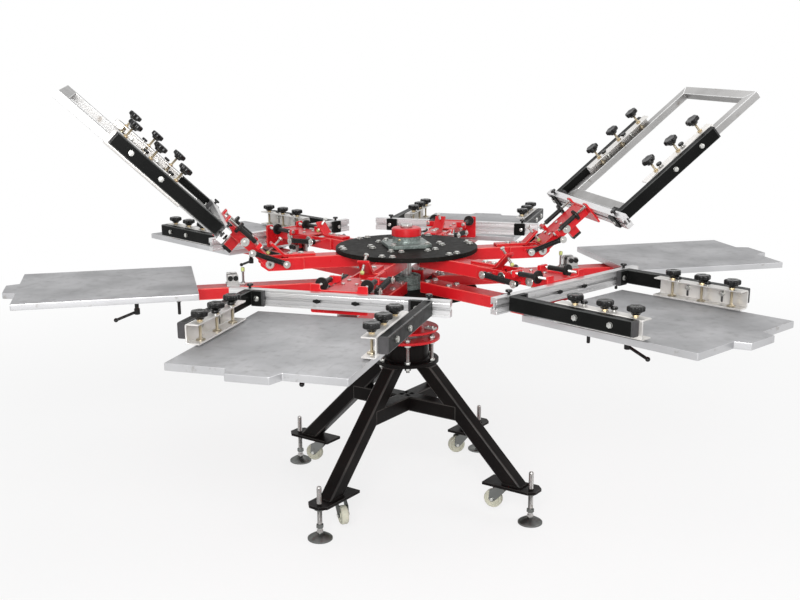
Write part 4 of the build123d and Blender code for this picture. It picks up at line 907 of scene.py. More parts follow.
@dataclass
class BaseFrame:
    """The welded stand: four raking square tubes, a cross brace and four foot plates."""

    first_angle: float = 41.8
    tube: float = 48.0
    top: float = 462.5
    top_outer: float = 106.0
    foot_outer: float = 452.0
    plate_top: float = 118.0
    plate: float = 10.0
    plate_x: Span = (318.0, 503.0)
    plate_width: float = 77.0
    clip: float = 20.0
    brace: float = 50.0
    brace_top: float = 346.5

    def places(self) -> list[Matrix]:
        """The four legs' places."""
        return [Matrix.Rotation(math.radians(self.first_angle + 90 * index), 4, "Z")
                for index in range(4)]

    def side(self, height: float) -> Span:
        """The leg's inner and outer faces at a height."""
        slope = (self.foot_outer - self.top_outer) / (self.top - self.plate_top)
        outer = self.top_outer + (self.top - height) * slope
        return outer - self.tube * math.hypot(1, slope), outer

    def build(self) -> None:
        """Model the stand."""
        mark = BENCH.mark()
        half = self.tube / 2
        low = self.side(self.plate_top)
        high = self.side(self.top)
        leg = [(low[0], self.plate_top), (low[1], self.plate_top), (high[1], self.top),
               (high[0], self.top)]
        BENCH.plate(leg, (-half, half), Across.Y, Finish.FRAME, 5, 4)
        reach = self.side(self.brace_top - self.brace)[0] + 4
        across = (-self.brace / 2, self.brace / 2)
        BENCH.block((0, reach), across, (self.brace_top - self.brace, self.brace_top),
                    Finish.FRAME, 4.5, 4)
        self._foot_plate()
        self._welds(low)
        BENCH.repeat(mark, self.places())
        BENCH.present(mark, "stand", "base", ["base_frame"])

    def _foot_plate(self) -> None:
        """A foot plate with clipped outer corners."""
        half = self.plate_width / 2
        start, end = self.plate_x
        outline = [(start, -half), (end - self.clip, -half), (end, self.clip - half),
                   (end, half - self.clip), (end - self.clip, half), (start, half)]
        BENCH.plate(outline, (self.plate_top - self.plate, self.plate_top), Across.Z,
                    Finish.FRAME, 1.2)

    def _welds(self, low: Span) -> None:
        """Weld beads where the leg stands on its plate and where the brace meets it."""
        half = self.tube / 2
        z = self.plate_top + 1
        corners = [(low[0], -half, z), (low[1], -half, z), (low[1], half, z), (low[0], half, z)]
        for index in range(4):
            self._bead(corners[index - 1], corners[index])
        inner_low = self.side(self.brace_top - self.brace)[0]
        inner_high = self.side(self.brace_top)[0]
        width = self.brace / 2 - 3
        for y in (-width, width):
            self._bead((inner_low, y, self.brace_top - self.brace + 3),
                       (inner_high, y, self.brace_top - 3))
        self._bead((inner_high, -width, self.brace_top), (inner_high, width, self.brace_top))

    def _bead(self, start: Point, end: Point) -> None:
        """One rippled weld bead between two points."""
        run = Vector(end) - Vector(start)
        profile = [(0.0, 0.0)]
        count = max(3, int(run.length / 3))
        for index in range(count):
            profile.append((2.1, run.length * (index + 0.3) / count))
            profile.append((2.7, run.length * (index + 0.8) / count))
        profile.append((0.0, run.length))
        BENCH.turned(profile, facing(*start, tuple(run)), Finish.FRAME, steps=10)


@dataclass
class LevellingFeet:
    """Four domed feet on threaded screws."""

    circle: float = 475.0
    disc: float = 39.0
    disc_height: float = 22.0
    rim: float = 8.0
    neck: float = 14.0
    screw: float = 8.0
    screw_top: float = 175.0
    hexagon: float = 12.0
    hexagon_z: Span = (38.0, 50.0)
    nut: float = 17.0
    nut_z: Span = (97.7, 107.7)

    def build(self, stand: BaseFrame) -> None:
        """Model one foot and copy it to the four plates.

        Args:
            stand: The stand that they are screwed into.
        """
        mark = BENCH.mark()
        dome = [(0, 0), (self.disc - 1.5, 0), (self.disc, 1.5), (self.disc, self.rim - 2),
                (self.disc - 2.5, self.rim + 0.6), (28, 14), (20, 18.6),
                (self.neck, self.disc_height - 0.6), (self.neck - 1, self.disc_height),
                (0, self.disc_height)]
        # The feet's zinc is darkened for painted shade under the stand.
        BENCH.turned(dome, HERE, Finish.DULL_ZINC, steps=48)
        top = self.screw_top
        rod = [(0, 21), (self.screw + 2, 21), (self.screw + 2, 30), (self.screw, 32)]
        rod += threaded(self.screw, (52, top - 4), 2.4, 1.0)
        rod += [(self.screw - 1.6, top - 1.8), (self.screw - 3.6, top - 0.4), (0, top)]
        BENCH.turned(rod, HERE, Finish.STEEL, steps=24)
        low, high = self.hexagon_z
        nut(shift(0, 0, low), self.hexagon, high - low, Finish.DULL_ZINC)
        low, high = self.nut_z
        BENCH.rod((0, 0, low), (0, 0, high), self.nut, Finish.DULL_ZINC, 1.4, 6)
        spots = [place @ shift(self.circle, 0, 0) for place in stand.places()]
        BENCH.repeat(mark, spots)
        BENCH.present(mark, "feet", "levelling_feet", ["levelling_feet"])


@dataclass
class Caster:
    """A swivel caster: a pressed fork and a nylon wheel."""

    circle: float = 372.0
    headings: tuple[float, float, float, float] = (180.0, 145.0, 277.0, 140.0)
    axle_height: float = 56.0
    trail: float = 30.0
    crown_z: Span = (98.7, 107.7)
    crown: float = 19.0
    wheel: float = 30.0
    tread: float = 23.0
    hub: float = 26.0
    gap: float = 13.3
    wall: float = 2.5
    cheek: float = 26.0

    def place(self, stand: BaseFrame, index: int) -> Matrix:
        """Where one caster's kingpin stands, turned to its heading."""
        angle = math.radians(stand.first_angle + 90 * index)
        turn = Matrix.Rotation(math.radians(self.headings[index]), 4, "Z")
        return shift(self.circle * math.cos(angle), self.circle * math.sin(angle), 0) @ turn

    def build(self, stand: BaseFrame) -> None:
        """Model a fork and a wheel and copy them to the four plates.

        Args:
            stand: The stand that carries them.
        """
        fork = self._fork()
        wheel = self._wheel()
        for index in range(4):
            place = self.place(stand, index)
            number = index + 1
            BENCH.deliver(BENCH.copy(fork, place, index), f"fork_{number}", f"caster_fork_{number}",
                          [f"caster_fork_{number}"])
            BENCH.deliver(BENCH.copy(wheel, place, index), f"wheel_{number}",
                          f"caster_wheel_{number}", [f"caster_wheel_{number}"])
        bpy.data.objects.remove(fork)
        bpy.data.objects.remove(wheel)

    def _fork(self) -> bpy.types.Object:
        """The swivel head, the pressed fork and the axle."""
        mark = BENCH.mark()
        low, high = self.crown_z
        crown = [(0, low), (self.crown - 2, low), (self.crown, low + 2), (self.crown, low + 3.4),
                 (self.crown - 1.6, low + 4.2), (self.crown - 1.6, low + 5),
                 (self.crown, low + 5.8), (self.crown, high - 1), (self.crown - 1, high), (6, high),
                 (6, high + 8), (0, high + 8)]
        # The fork's zinc is darkened for painted shade under the stand.
        BENCH.turned(crown, HERE, Finish.DULL_ZINC)
        half = self.cheek / 2
        outer = self.gap + self.wall
        BENCH.block((-half, half), (-outer, outer), (low - self.wall, low), Finish.DULL_ZINC, 1.0)
        side = BENCH.mark()
        trail, axle = self.trail, self.axle_height
        cheek = [(-half, low), (-half, low - 11), (trail - 11, axle - 2), (trail, axle - 10),
                 (trail + 11, axle - 2), (trail + 8, low - 12), (half + 7, low)]
        BENCH.plate(rounded(cheek, 6), (self.gap, outer), Across.Y, Finish.DULL_ZINC, 0.5)
        nut(facing(trail, outer, axle, (0, 1, 0)), 6.0, 4.0, Finish.ZINC)
        BENCH.pair(side)
        BENCH.rod((trail, -outer, axle), (trail, outer, axle), 4, Finish.ZINC)
        return BENCH.finish_piece(mark)

    def _wheel(self) -> bpy.types.Object:
        """The wheel, with rounded shoulders, a dished side and a proud hub."""
        mark = BENCH.mark()
        half = self.tread / 2
        hub = self.hub / 2
        tyre = self.wheel
        side = [(4.1, hub), (9.3, hub), (10, hub - 0.7), (10, half - 2.5), (11, half - 3.2),
                (tyre - 9, half - 3.2), (tyre - 7, half - 1.2), (tyre - 5.4, half - 0.2),
                (tyre - 4.6, half), (tyre - 2.6, half - 0.6), (tyre - 1.2, half - 1.9),
                (tyre - 0.3, half - 3.6), (tyre, half - 5.4)]
        profile = side + [(radius, -height) for radius, height in reversed(side)]
        axle = facing(self.trail, 0, self.axle_height, (0, 1, 0))
        BENCH.turned(profile, axle, Finish.NYLON, closed=True, steps=56)
        return BENCH.finish_piece(mark)


@dataclass
class Pedestal:
    """The flange and drum on the stand, the fixed red plate on them, and their studs."""

    bore: float = 16.0
    flange: float = 106.0
    flange_z: Span = (462.5, 474.5)
    drum: float = 72.0
    plate: float = 110.0
    plate_z: Span = (540.5, 549.5)
    ring: float = 52.0
    ring_top: float = 571.2
    stud_circle: float = 93.0
    stud_count: int = 6
    first_stud: float = 18.4
    stud: float = 6.0
    nut: float = 10.5
    nut_height: float = 8.0
    tail: float = 16.0

    def build(self, stand: BaseFrame) -> None:
        """Model the pedestal.

        Args:
            stand: The stand that it is bolted to.
        """
        low, high = self.flange_z
        mark = BENCH.mark()
        drum_top = self.plate_z[0]
        profile = [(self.bore, low), (self.flange - 1, low), (self.flange, low + 1),
                   (self.flange, high - 1), (self.flange - 1, high), (self.drum + 3, high),
                   (self.drum, high + 3), (self.drum, drum_top), (self.bore, drum_top)]
        BENCH.turned(profile, HERE, Finish.FRAME, closed=True, steps=72)
        BENCH.present(mark, "drum", "base", ["pedestal"])
        self._red_plate()
        self._studs(stand)

    def _red_plate(self) -> None:
        """The fixed red plate and the thrust ring on it."""
        mark = BENCH.mark()
        high = self.plate_z[1]
        disc = disc_profile(self.bore, self.plate, self.plate_z)
        BENCH.turned(disc, HERE, Finish.RED, closed=True, steps=80)
        ring = [(self.bore, high), (self.ring, high), (self.ring, high + 9),
                (self.ring - 1.5, high + 10.5), (self.ring, high + 12), (self.ring, self.ring_top),
                (self.bore, self.ring_top)]
        BENCH.turned(ring, HERE, Finish.STEEL, closed=True, steps=56)
        BENCH.present(mark, "red_plate", "base", ["bearing_plate"])

    def _studs(self, stand: BaseFrame) -> None:
        """Six threaded studs with nuts above and below the plates, with no tail over a leg."""
        mark = BENCH.mark()
        for index in range(self.stud_count):
            angle = self.first_stud + 360 / self.stud_count * index
            apart = (angle - stand.first_angle) % 90
            near = math.radians(min(apart, 90 - apart))
            blocked = self.stud_circle * math.sin(near) < stand.tube / 2 + self.nut + 0.3
            spot = Matrix.Rotation(math.radians(angle), 4, "Z") @ shift(self.stud_circle, 0, 0)
            self._stud(spot, blocked)
        BENCH.present(mark, "studs", "base", ["pedestal_studs"])

    def _stud(self, spot: Matrix, blocked: bool) -> None:
        """One stud with its nuts.

        Args:
            spot: The stud's axis.
            blocked: Whether a leg's top leaves no room for a tail.
        """
        bottom = self.flange_z[0] if blocked else self.flange_z[0] - self.tail
        top = self.plate_z[1] + self.tail
        rod = [(0, bottom)] + threaded(self.stud, (bottom + 0.8, top - 0.8), 2.0, 0.8) + [(0, top)]
        BENCH.turned(rod, spot, Finish.STEEL, steps=16)
        seats = [self.flange_z[1], self.plate_z[0] - self.nut_height, self.plate_z[1]]
        if not blocked:
            seats.append(self.flange_z[0] - self.nut_height)
        for seat in seats:
            BENCH.rod((0, 0, seat), (0, 0, seat + self.nut_height), self.nut, Finish.ZINC, 1.0, 6)
            BENCH.loose[-1].data.transform(spot)


@dataclass
class CentreShaft:
    """The main shaft with its collar and top nut, and the red cap under the nut."""

    radius: float = 16.0
    low: float = 462.5
    top: float = 921.5
    collar: float = 27.0
    collar_z: Span = (825.2, 834.2)
    nut: float = 21.0
    nut_z: Span = (909.3, 921.3)
    cap: float = 48.0
    cap_z: Span = (883.3, 909.3)

    def build(self) -> None:
        """Model the shaft and its cap."""
        mark = BENCH.mark()
        low, high = self.collar_z
        shaft = [(0, self.low), (self.radius, self.low), (self.radius, low), (self.collar - 1, low),
                 (self.collar, low + 1), (self.collar, high - 1), (self.collar - 1, high),
                 (self.radius, high)]
        shaft += [(self.radius, self.cap_z[1] + 1)]
        shaft += threaded(self.radius - 0.2, (self.cap_z[1] + 1, self.top - 1.4), 2.4,
                          1.0) + [(0, self.top)]
        BENCH.turned(shaft, HERE, Finish.STEEL, steps=40)
        BENCH.rod((0, 0, self.nut_z[0]), (0, 0, self.nut_z[1] - 1.6), self.nut, Finish.ZINC, 1.8, 6)
        BENCH.present(mark, "shaft", "base", ["main_shaft"])
        mark = BENCH.mark()
        low, high = self.cap_z
        cap = [(self.radius, low), (self.cap - 1, low), (self.cap, low + 1), (self.cap, high - 5.6),
               (self.cap - 1.5, high - 3.0), (self.cap - 4.2, high - 0.8), (self.cap - 7, high),
               (self.radius + 8, high), (self.radius + 6, high - 0.8), (self.radius, high - 0.8)]
        BENCH.turned(cap, HERE, Finish.RED, closed=True, steps=64)
        BENCH.present(mark, "red_cap", "base", ["hub_cap"])


# Lower carousel


def disc_bolts(seat: float, finish: Finish) -> None:
    """The four bolts of one arm on a carousel disc, in the station's frame, on a seat height."""
    mark = BENCH.mark()
    nut(HERE, 8.5, 6.0, finish, 11.0)
    BENCH.repeat(mark, [shift(x, y, seat) for x in (115, 209) for y in (-17, 17)])


@dataclass
class LowerHub:
    """The lower disc, hub tube, red rotor disc with its lug, and the bearing cup."""

    bore: float = 16.05
    disc: float = 229.0
    disc_z: Span = (698.2, 712.7)
    tube: float = 50.0
    rotor: float = 105.0
    rotor_z: Span = (571.5, 579.5)
    collar: float = 60.0
    collar_top: float = 726.5
    cup: float = 45.6
    cup_top: float = 753.5
    lug: Point = (34.0, 26.0, 8.0)
    lug_angle: float = -41.6

    def build(self) -> None:
        """Model the hub."""
        mark = BENCH.mark()
        low = self.disc_z[0]
        disc = disc_profile(self.bore, self.disc, self.disc_z)
        BENCH.turned(disc, HERE, Finish.DISC, closed=True, steps=96)
        top = self.rotor_z[1]
        tube = [(self.bore, top), (self.tube + 3, top), (self.tube, top + 3), (self.tube, low - 3),
                (self.tube + 3, low), (self.bore, low)]
        BENCH.turned(tube, HERE, Finish.RED, closed=True, steps=56)
        rotor = disc_profile(self.bore, self.rotor, self.rotor_z)
        BENCH.turned(rotor, HERE, Finish.RED, closed=True, steps=80)
        self._cup()
        self._lug()
        BENCH.present(mark, "lower_hub_dressed", "lower_carousel", ["lower_hub"])

    def _cup(self) -> None:
        """The grey collar and its dished bearing cup."""
        low = self.disc_z[1]
        step = self.collar_top
        top = self.cup_top
        cup = [(self.bore, low), (self.collar - 1, low), (self.collar, low + 1),
               (self.collar, step - 2), (self.collar - 2, step), (self.cup + 2, step),
               (self.cup, step + 2), (self.cup, top - 1.5), (self.cup - 1.5, top),
               (self.cup - 5, top), (self.cup - 6.5, top - 4.6), (self.bore + 8, top - 5),
               (self.bore + 6, top), (self.bore, top)]
        BENCH.turned(cup, HERE, Finish.HAMMER, closed=True, steps=64)

    def _lug(self) -> None:
        """The lug plate on the rotor disc, with its two screws."""
        length, width, height = self.lug
        mark = BENCH.mark()
        top = self.rotor_z[1]
        BENCH.block((self.rotor - length, self.rotor), (-width / 2, width / 2), (top, top + height),
                    Finish.STEEL, 1.2)
        for x in (self.rotor - length + 9, self.rotor - 9):
            nut(shift(x, 0, top + height), 4.5, 3.0, Finish.ZINC)
        turn = Matrix.Rotation(math.radians(self.lug_angle), 4, "Z")
        BENCH.join(mark).data.transform(turn)


@dataclass
class PalletArm:
    """A square tube arm with its plug, disc bolts, lock lever and stop pin."""

    x: Span = (94.0, 1050.0)
    width: float = 62.0
    z: Span = (-61.8, -24.8)
    plug: float = 14.0
    lock_x: float = 865.0
    lock_drop: float = 40.0
    lever: tuple[float, float] = (66.0, 24.0)
    pin_x: float = 735.0
    pin_drop: float = 48.0

    def build(self) -> None:
        """Model one arm and copy it to the six stations."""
        mark = BENCH.mark()
        half = self.width / 2
        BENCH.block((self.x[0], self.x[1] - 1.2), (-half, half), self.z, Finish.RED, 3.0, 3)
        low, high = self.z
        plug = [(-half + 4, low + 4), (half - 4, low + 4), (half - 4, high - 4),
                (-half + 4, high - 4)]
        BENCH.plate(rounded(plug, 3), (self.x[1] - self.plug, self.x[1]), Across.X, Finish.CAP, 0.8)
        disc_bolts(high, Finish.ZINC)
        self._lock_lever(low)
        end = low - self.pin_drop
        pin = [(0, end), (3.6, end), (5, end + 1.4), (5, low - 8), (7.5, low - 8),
               (7.5, low), (0, low)]
        BENCH.turned(pin, shift(self.pin_x, 0, 0), Finish.OXIDE, steps=22)
        BENCH.repeat(mark, stations())
        BENCH.present(mark, "pallet_arms_dressed", "lower_carousel", ["pallet_arms"])

    def _lock_lever(self, low: float) -> None:
        """The clamp boss under the arm and its lever with a ball grip."""
        bottom = low - self.lock_drop
        boss = [(0, bottom), (8, bottom), (9, bottom + 1), (9, bottom + 18), (6.5, bottom + 20),
                (6.5, low - 4), (9, low - 3), (9, low), (0, low)]
        BENCH.turned(boss, shift(self.lock_x, 0, 0), Finish.OXIDE, steps=26)
        root = (self.lock_x, 0, bottom + 9)
        reach, fall = self.lever
        tip = (self.lock_x + reach, 0, root[2] - fall)
        BENCH.rod(root, tip, 4.5, Finish.OXIDE, 0.4, 18)
        ball = [(0, -7), (3.6, -6.0), (6.0, -3.6), (7, 0), (6.0, 3.6), (3.6, 6.0), (0, 7)]
        BENCH.turned(ball, facing(*tip, (reach, 0, -fall)), Finish.KNOB, steps=24)


@dataclass
class Pallet:
    """A print pallet: an aluminium plate with a tapered outer tab on a bracket."""

    start: float = 681.0
    length: float = 534.5
    width: float = 450.0
    thickness: float = 18.3
    tab: tuple[float, float, float] = (39.1, 138.0, 108.0)
    bracket_x: Span = (700.0, 1035.0)
    bracket_width: float = 90.0
    bracket: float = 6.5

    def build(self) -> None:
        """Model one pallet and copy it to the six stations."""
        mark = BENCH.mark()
        half = self.width / 2
        end = self.start + self.length
        reach, root, tip = self.tab
        outline = [(self.start, -half), (end, -half), (end, -root / 2), (end + reach, -tip / 2),
                   (end + reach, tip / 2), (end, root / 2), (end, half), (self.start, half)]
        BENCH.plate(rounded(outline, 3.0, 3), (-self.thickness, 0), Across.Z, Finish.PALLET, 1.4, 2)
        # The upright sides take the lighter edge metal: milled aluminium with a painted highlight.
        BENCH.bright_sides()
        low = -self.thickness - self.bracket
        side = self.bracket_width / 2
        BENCH.block(self.bracket_x, (-side, side), (low, -self.thickness), Finish.ARM, 1.0)
        screws = BENCH.mark()
        nut(HERE, 5.5, 4.0, Finish.ZINC)
        spots = [(x, y) for x in (self.bracket_x[0] + 16, self.bracket_x[1] - 16)
                 for y in (-36, 36)]
        BENCH.repeat(screws, [facing(x, y, low, (0, 0, -1)) for x, y in spots])
        BENCH.repeat(mark, stations())
        BENCH.present(mark, "pallets_dressed", "lower_carousel", ["pallets"])


@dataclass
class Gate:
    """A registration gate: two fingers with screws, and a rest post with a soft tip."""

    x: float = 565.0
    length: float = 40.0
    width: float = 60.0
    seat: float = -24.8
    base: float = 6.0
    gap: float = 13.4
    finger: float = 14.0
    finger_length: float = 34.0
    top: float = 12.0
    screw_z: float = 2.0
    post_x: float = 531.0
    tip_z: Span = (18.6, 30.6)

    def build(self) -> None:
        """Model one gate and copy it to the six stations."""
        mark = BENCH.mark()
        half = self.length / 2
        base_top = self.seat + self.base
        BENCH.block((self.x - half, self.x + half), (-self.width / 2, self.width / 2),
                    (self.seat, base_top), Finish.STEEL, 0.8)
        BENCH.block((self.post_x - 6, self.x - half), (-9, 9), (self.seat, base_top),
                    Finish.STEEL, 0.8)
        side = BENCH.mark()
        reach = self.finger_length / 2
        outline = [(self.x - reach, base_top), (self.x + reach, base_top),
                   (self.x + reach, self.top), (self.x - reach, self.top)]
        corners = rounded(outline, 4)
        BENCH.plate(corners, (self.gap, self.gap + self.finger), Across.Y, Finish.STEEL, 0.8)
        for x in (self.x - reach / 2, self.x + reach / 2):
            self._screw(x)
        BENCH.pair(side)
        low, high = self.tip_z
        post = [(0, base_top), (6, base_top), (6, base_top + 3)]
        post += threaded(4, (base_top + 3, low - 2), 1.8, 0.6) + [(5.6, low - 2),
                                                                  (5.6, low), (0, low)]
        BENCH.turned(post, shift(self.post_x, 0, 0), Finish.STEEL, steps=18)
        tip = [(0, low), (5.4, low), (6, low + 1), (6, high - 2), (5.2, high - 0.6),
               (3.5, high), (0, high)]
        BENCH.turned(tip, shift(self.post_x, 0, 0), Finish.RUBBER, steps=24)
        BENCH.repeat(mark, stations())
        BENCH.present(mark, "gates_dressed", "lower_carousel", ["registration_gates"])

    def _screw(self, x: float) -> None:
        """A gate screw with a rounded nose, a thread and a socket head."""
        nose = 12.4
        end = self.gap + 20
        profile = [(0, nose), (3.4, nose), (5, nose + 1.4), (5, self.gap + self.finger)]
        profile += threaded(5, (self.gap + self.finger, end - 4), 1.6, 0.7)
        profile += [(8, end - 4), (8, end - 0.6), (7.4, end), (3.6, end), (3.6, end - 2.4),
                    (0, end - 2.4)]
        BENCH.turned(profile, facing(x, 0, self.screw_z, (0, 1, 0)), Finish.OXIDE, steps=22)


# Upper carousel


@dataclass
class UpperCarousel:
    """The upper disc with its bolts and the square flanged bearing housing."""

    disc: float = 229.0
    disc_z: Span = (834.5, 849.0)
    bore: float = 16.05
    side: float = 142.0
    corner: float = 18.0
    flange_top: float = 861.0
    housing: float = 44.0
    housing_top: float = 883.0
    bolt: float = 55.0

    def build(self) -> None:
        """Model the disc and the housing."""
        mark = BENCH.mark()
        high = self.disc_z[1]
        disc = disc_profile(self.bore, self.disc, self.disc_z, 1.5)
        BENCH.turned(disc, HERE, Finish.DISC, closed=True, steps=112)
        bolts = BENCH.mark()
        disc_bolts(high - PALLET_TOP, Finish.ZINC)
        BENCH.repeat(bolts, stations())
        BENCH.present(mark, "top_disc_dressed", "upper_carousel", ["top_disc"])
        self._bearing(high)

    def _bearing(self, low: float) -> None:
        """The cast housing on its square flange, with corner bolts and a grease nipple."""
        mark = BENCH.mark()
        half = self.side / 2
        cut = half - self.corner
        outline = [(-half, -cut), (-cut, -half), (cut, -half), (half, -cut), (half, cut),
                   (cut, half), (-cut, half), (-half, cut)]
        BENCH.plate(rounded(outline, 7), (low, self.flange_top), Across.Z, Finish.HAMMER, 2.4, 3)
        top = self.housing_top
        start = self.flange_top - 2
        housing = [(self.bore, start), (self.housing + 6, start),
                   (self.housing + 5, self.flange_top + 1),
                   (self.housing + 1.5, self.flange_top + 3), (self.housing, self.flange_top + 7),
                   (self.housing, top - 2), (self.housing - 2, top), (self.housing - 7, top),
                   (self.housing - 8, top - 1.5), (self.bore, top - 1.5)]
        BENCH.turned(housing, HERE, Finish.HAMMER, closed=True, steps=64)
        nipple = [(0, 0), (3.4, 0), (3.4, 2), (2, 3), (2, 5), (2.6, 6), (1.4, 7.6), (0, 7.6)]
        BENCH.turned(nipple, facing(-30, -32, top - 9, (-0.68, -0.73, 0)), Finish.BRASS, steps=12)
        bolts = BENCH.mark()
        nut(HERE, 8.5, 6.0, Finish.ZINC, 11.0)
        corners = [shift(x, y, self.flange_top) for x in (-self.bolt, self.bolt)
                   for y in (-self.bolt, self.bolt)]
        BENCH.repeat(bolts, corners)
        BENCH.present(mark, "bearing_dressed", "upper_carousel", ["upper_bearing"])


@dataclass
class BaseArm:
    """A red base arm with its cheeks, pivot, spring pins and stop bracket."""

    x: Span = (90.0, 388.0)
    width: float = 60.0
    z: Span = (20.0, 60.0)
    cheek_x: Span = (340.0, 478.0)
    cheek: float = 6.0
    chin: float = 24.0
    nose: tuple[float, float] = (38.0, 51.0)
    crown: float = 59.0
    spacer: Span = (30.0, 39.7)
    head_y: Span = (45.3, 48.3)
    strap_x: Span = (300.0, 398.0)
    strap: float = 8.0
    strap_rise: float = 42.0
    strap_width: float = 36.0
    contact: float = 20.0
    contact_height: float = 60.4
    lowered_reach: float = 42.0
    bumper: float = 9.0
    screw: float = 52.0

    def build(self) -> None:
        """Model the arm and copy it to the six stations, each with its own stop."""
        mark = BENCH.mark()
        half = self.width / 2
        BENCH.block(self.x, (-half, half), self.z, Finish.RED, 2.6, 3)
        side = BENCH.mark()
        self._cheek(half)
        spring_pin(*SPRING_PIN, half)
        BENCH.pair(side)
        pivot_x, pivot_z = PIVOT
        reach = self.head_y[1] - 0.8
        BENCH.rod((pivot_x, -reach, pivot_z), (pivot_x, reach, pivot_z), 8, Finish.STEEL, 0.6)
        self._strap()
        BENCH.repeat(mark, stations())
        for head in Head:
            self._stop(head)
        BENCH.present(mark, "base_arms_dressed", "upper_carousel", ["base_arms"])

    def _cheek(self, half: float) -> None:
        """One cheek plate, the spacer on the pivot and the pivot pin's head."""
        low = self.z[0]
        start, end = self.cheek_x
        pivot_x, pivot_z = PIVOT
        outline = [(start, low), (end - self.chin, low), (end, self.nose[0]), (end, self.nose[1]),
                   (pivot_x + 15, self.nose[1]), (pivot_x, self.crown), (start, self.crown)]
        BENCH.plate(rounded(outline, 6), (half, half + self.cheek), Across.Y, Finish.RED, 1.2)
        ring = [(8.1, self.spacer[0] + 6), (14, self.spacer[0] + 6), (14, self.spacer[1]),
                (8.1, self.spacer[1])]
        axle = facing(pivot_x, 0, pivot_z, (0, 1, 0))
        BENCH.turned(ring, axle, Finish.STEEL, closed=True, steps=32)
        low_y, high_y = self.head_y
        head = [(7, low_y), (13.4, low_y), (14, low_y + 0.6), (14, high_y - 0.8), (13.2, high_y),
                (6, high_y), (5, high_y - 0.8), (0, high_y - 0.8)]
        BENCH.turned(head, axle, Finish.ZINC, steps=36)

    def _strap(self) -> None:
        """The bent strap on the arm and its two bolts."""
        start, bend = self.strap_x
        low = self.z[1]
        top = low + self.strap
        move = self.strap * math.tan(math.radians(22.5))
        lean = math.sqrt(0.5) * self.strap
        end_x = bend + move + self.strap_rise
        end_z = low + self.strap_rise
        outline = [(start, low), (bend + move, low), (end_x, end_z), (end_x - lean, end_z + lean),
                   (bend, top), (start, top)]
        half = self.strap_width / 2
        BENCH.plate(rounded(outline, 3, 3), (-half, half), Across.Y, Finish.RED, 1.2)
        mark = BENCH.mark()
        nut(HERE, 8.5, 4.0, Finish.ZINC, 10.5)
        BENCH.repeat(mark, [shift(x, 0, top) for x in (345, 380)])

    def _stop(self, head: Head) -> None:
        """One head's stop: a screw through the strap, its nuts and its soft bumper."""
        pivot_x, pivot_z = PIVOT
        tilt = math.radians(head.tilt or self.lowered_reach)
        across = self.contact_height - pivot_z
        x = pivot_x + self.contact * math.cos(tilt) - across * math.sin(tilt)
        z = pivot_z + self.contact * math.sin(tilt) + across * math.cos(tilt)
        place = station(head.index) @ shift(x, 0, z) @ Matrix.Rotation(-tilt, 4, "Y")
        mark = BENCH.mark()
        top = self.bumper + self.screw
        bolt = [(0, self.bumper)] + threaded(4, (self.bumper, top), 1.5, 0.6) + [(0, top)]
        BENCH.turned(bolt, HERE, Finish.ZINC, steps=16)
        nut(shift(0, 0, top), 7.5, 6.0, Finish.ZINC)
        tip = [(0, 0), (4.4, 0), (5.6, 0.8), (6, 2), (6, self.bumper - 1), (5.2, self.bumper),
               (0, self.bumper)]
        BENCH.turned(tip, HERE, Finish.RUBBER, steps=24)
        stop = BENCH.join(mark)
        stop.data.transform(place)


def spring_pin(x: float, z: float, start: float) -> None:
    """A spring's pin on one side of an arm, with its washer and nut.

    Args:
        x: The pin's place along the arm.
        z: Its height.
        start: Where it leaves the cheek.
    """
    low = SPRING_PIN_END
    high = low + 2.5
    BENCH.rod((x, start, z), (x, low, z), 4.9, Finish.STEEL, 0.3, 20)
    washer = disc_profile(4, 11.5, (low, high), 0.6)
    BENCH.turned(washer, facing(x, 0, z, (0, 1, 0)), Finish.ZINC, closed=True, steps=32)
    nut(facing(x, high, z, (0, 1, 0)), 6.0, 4.0, Finish.ZINC)


# Print heads


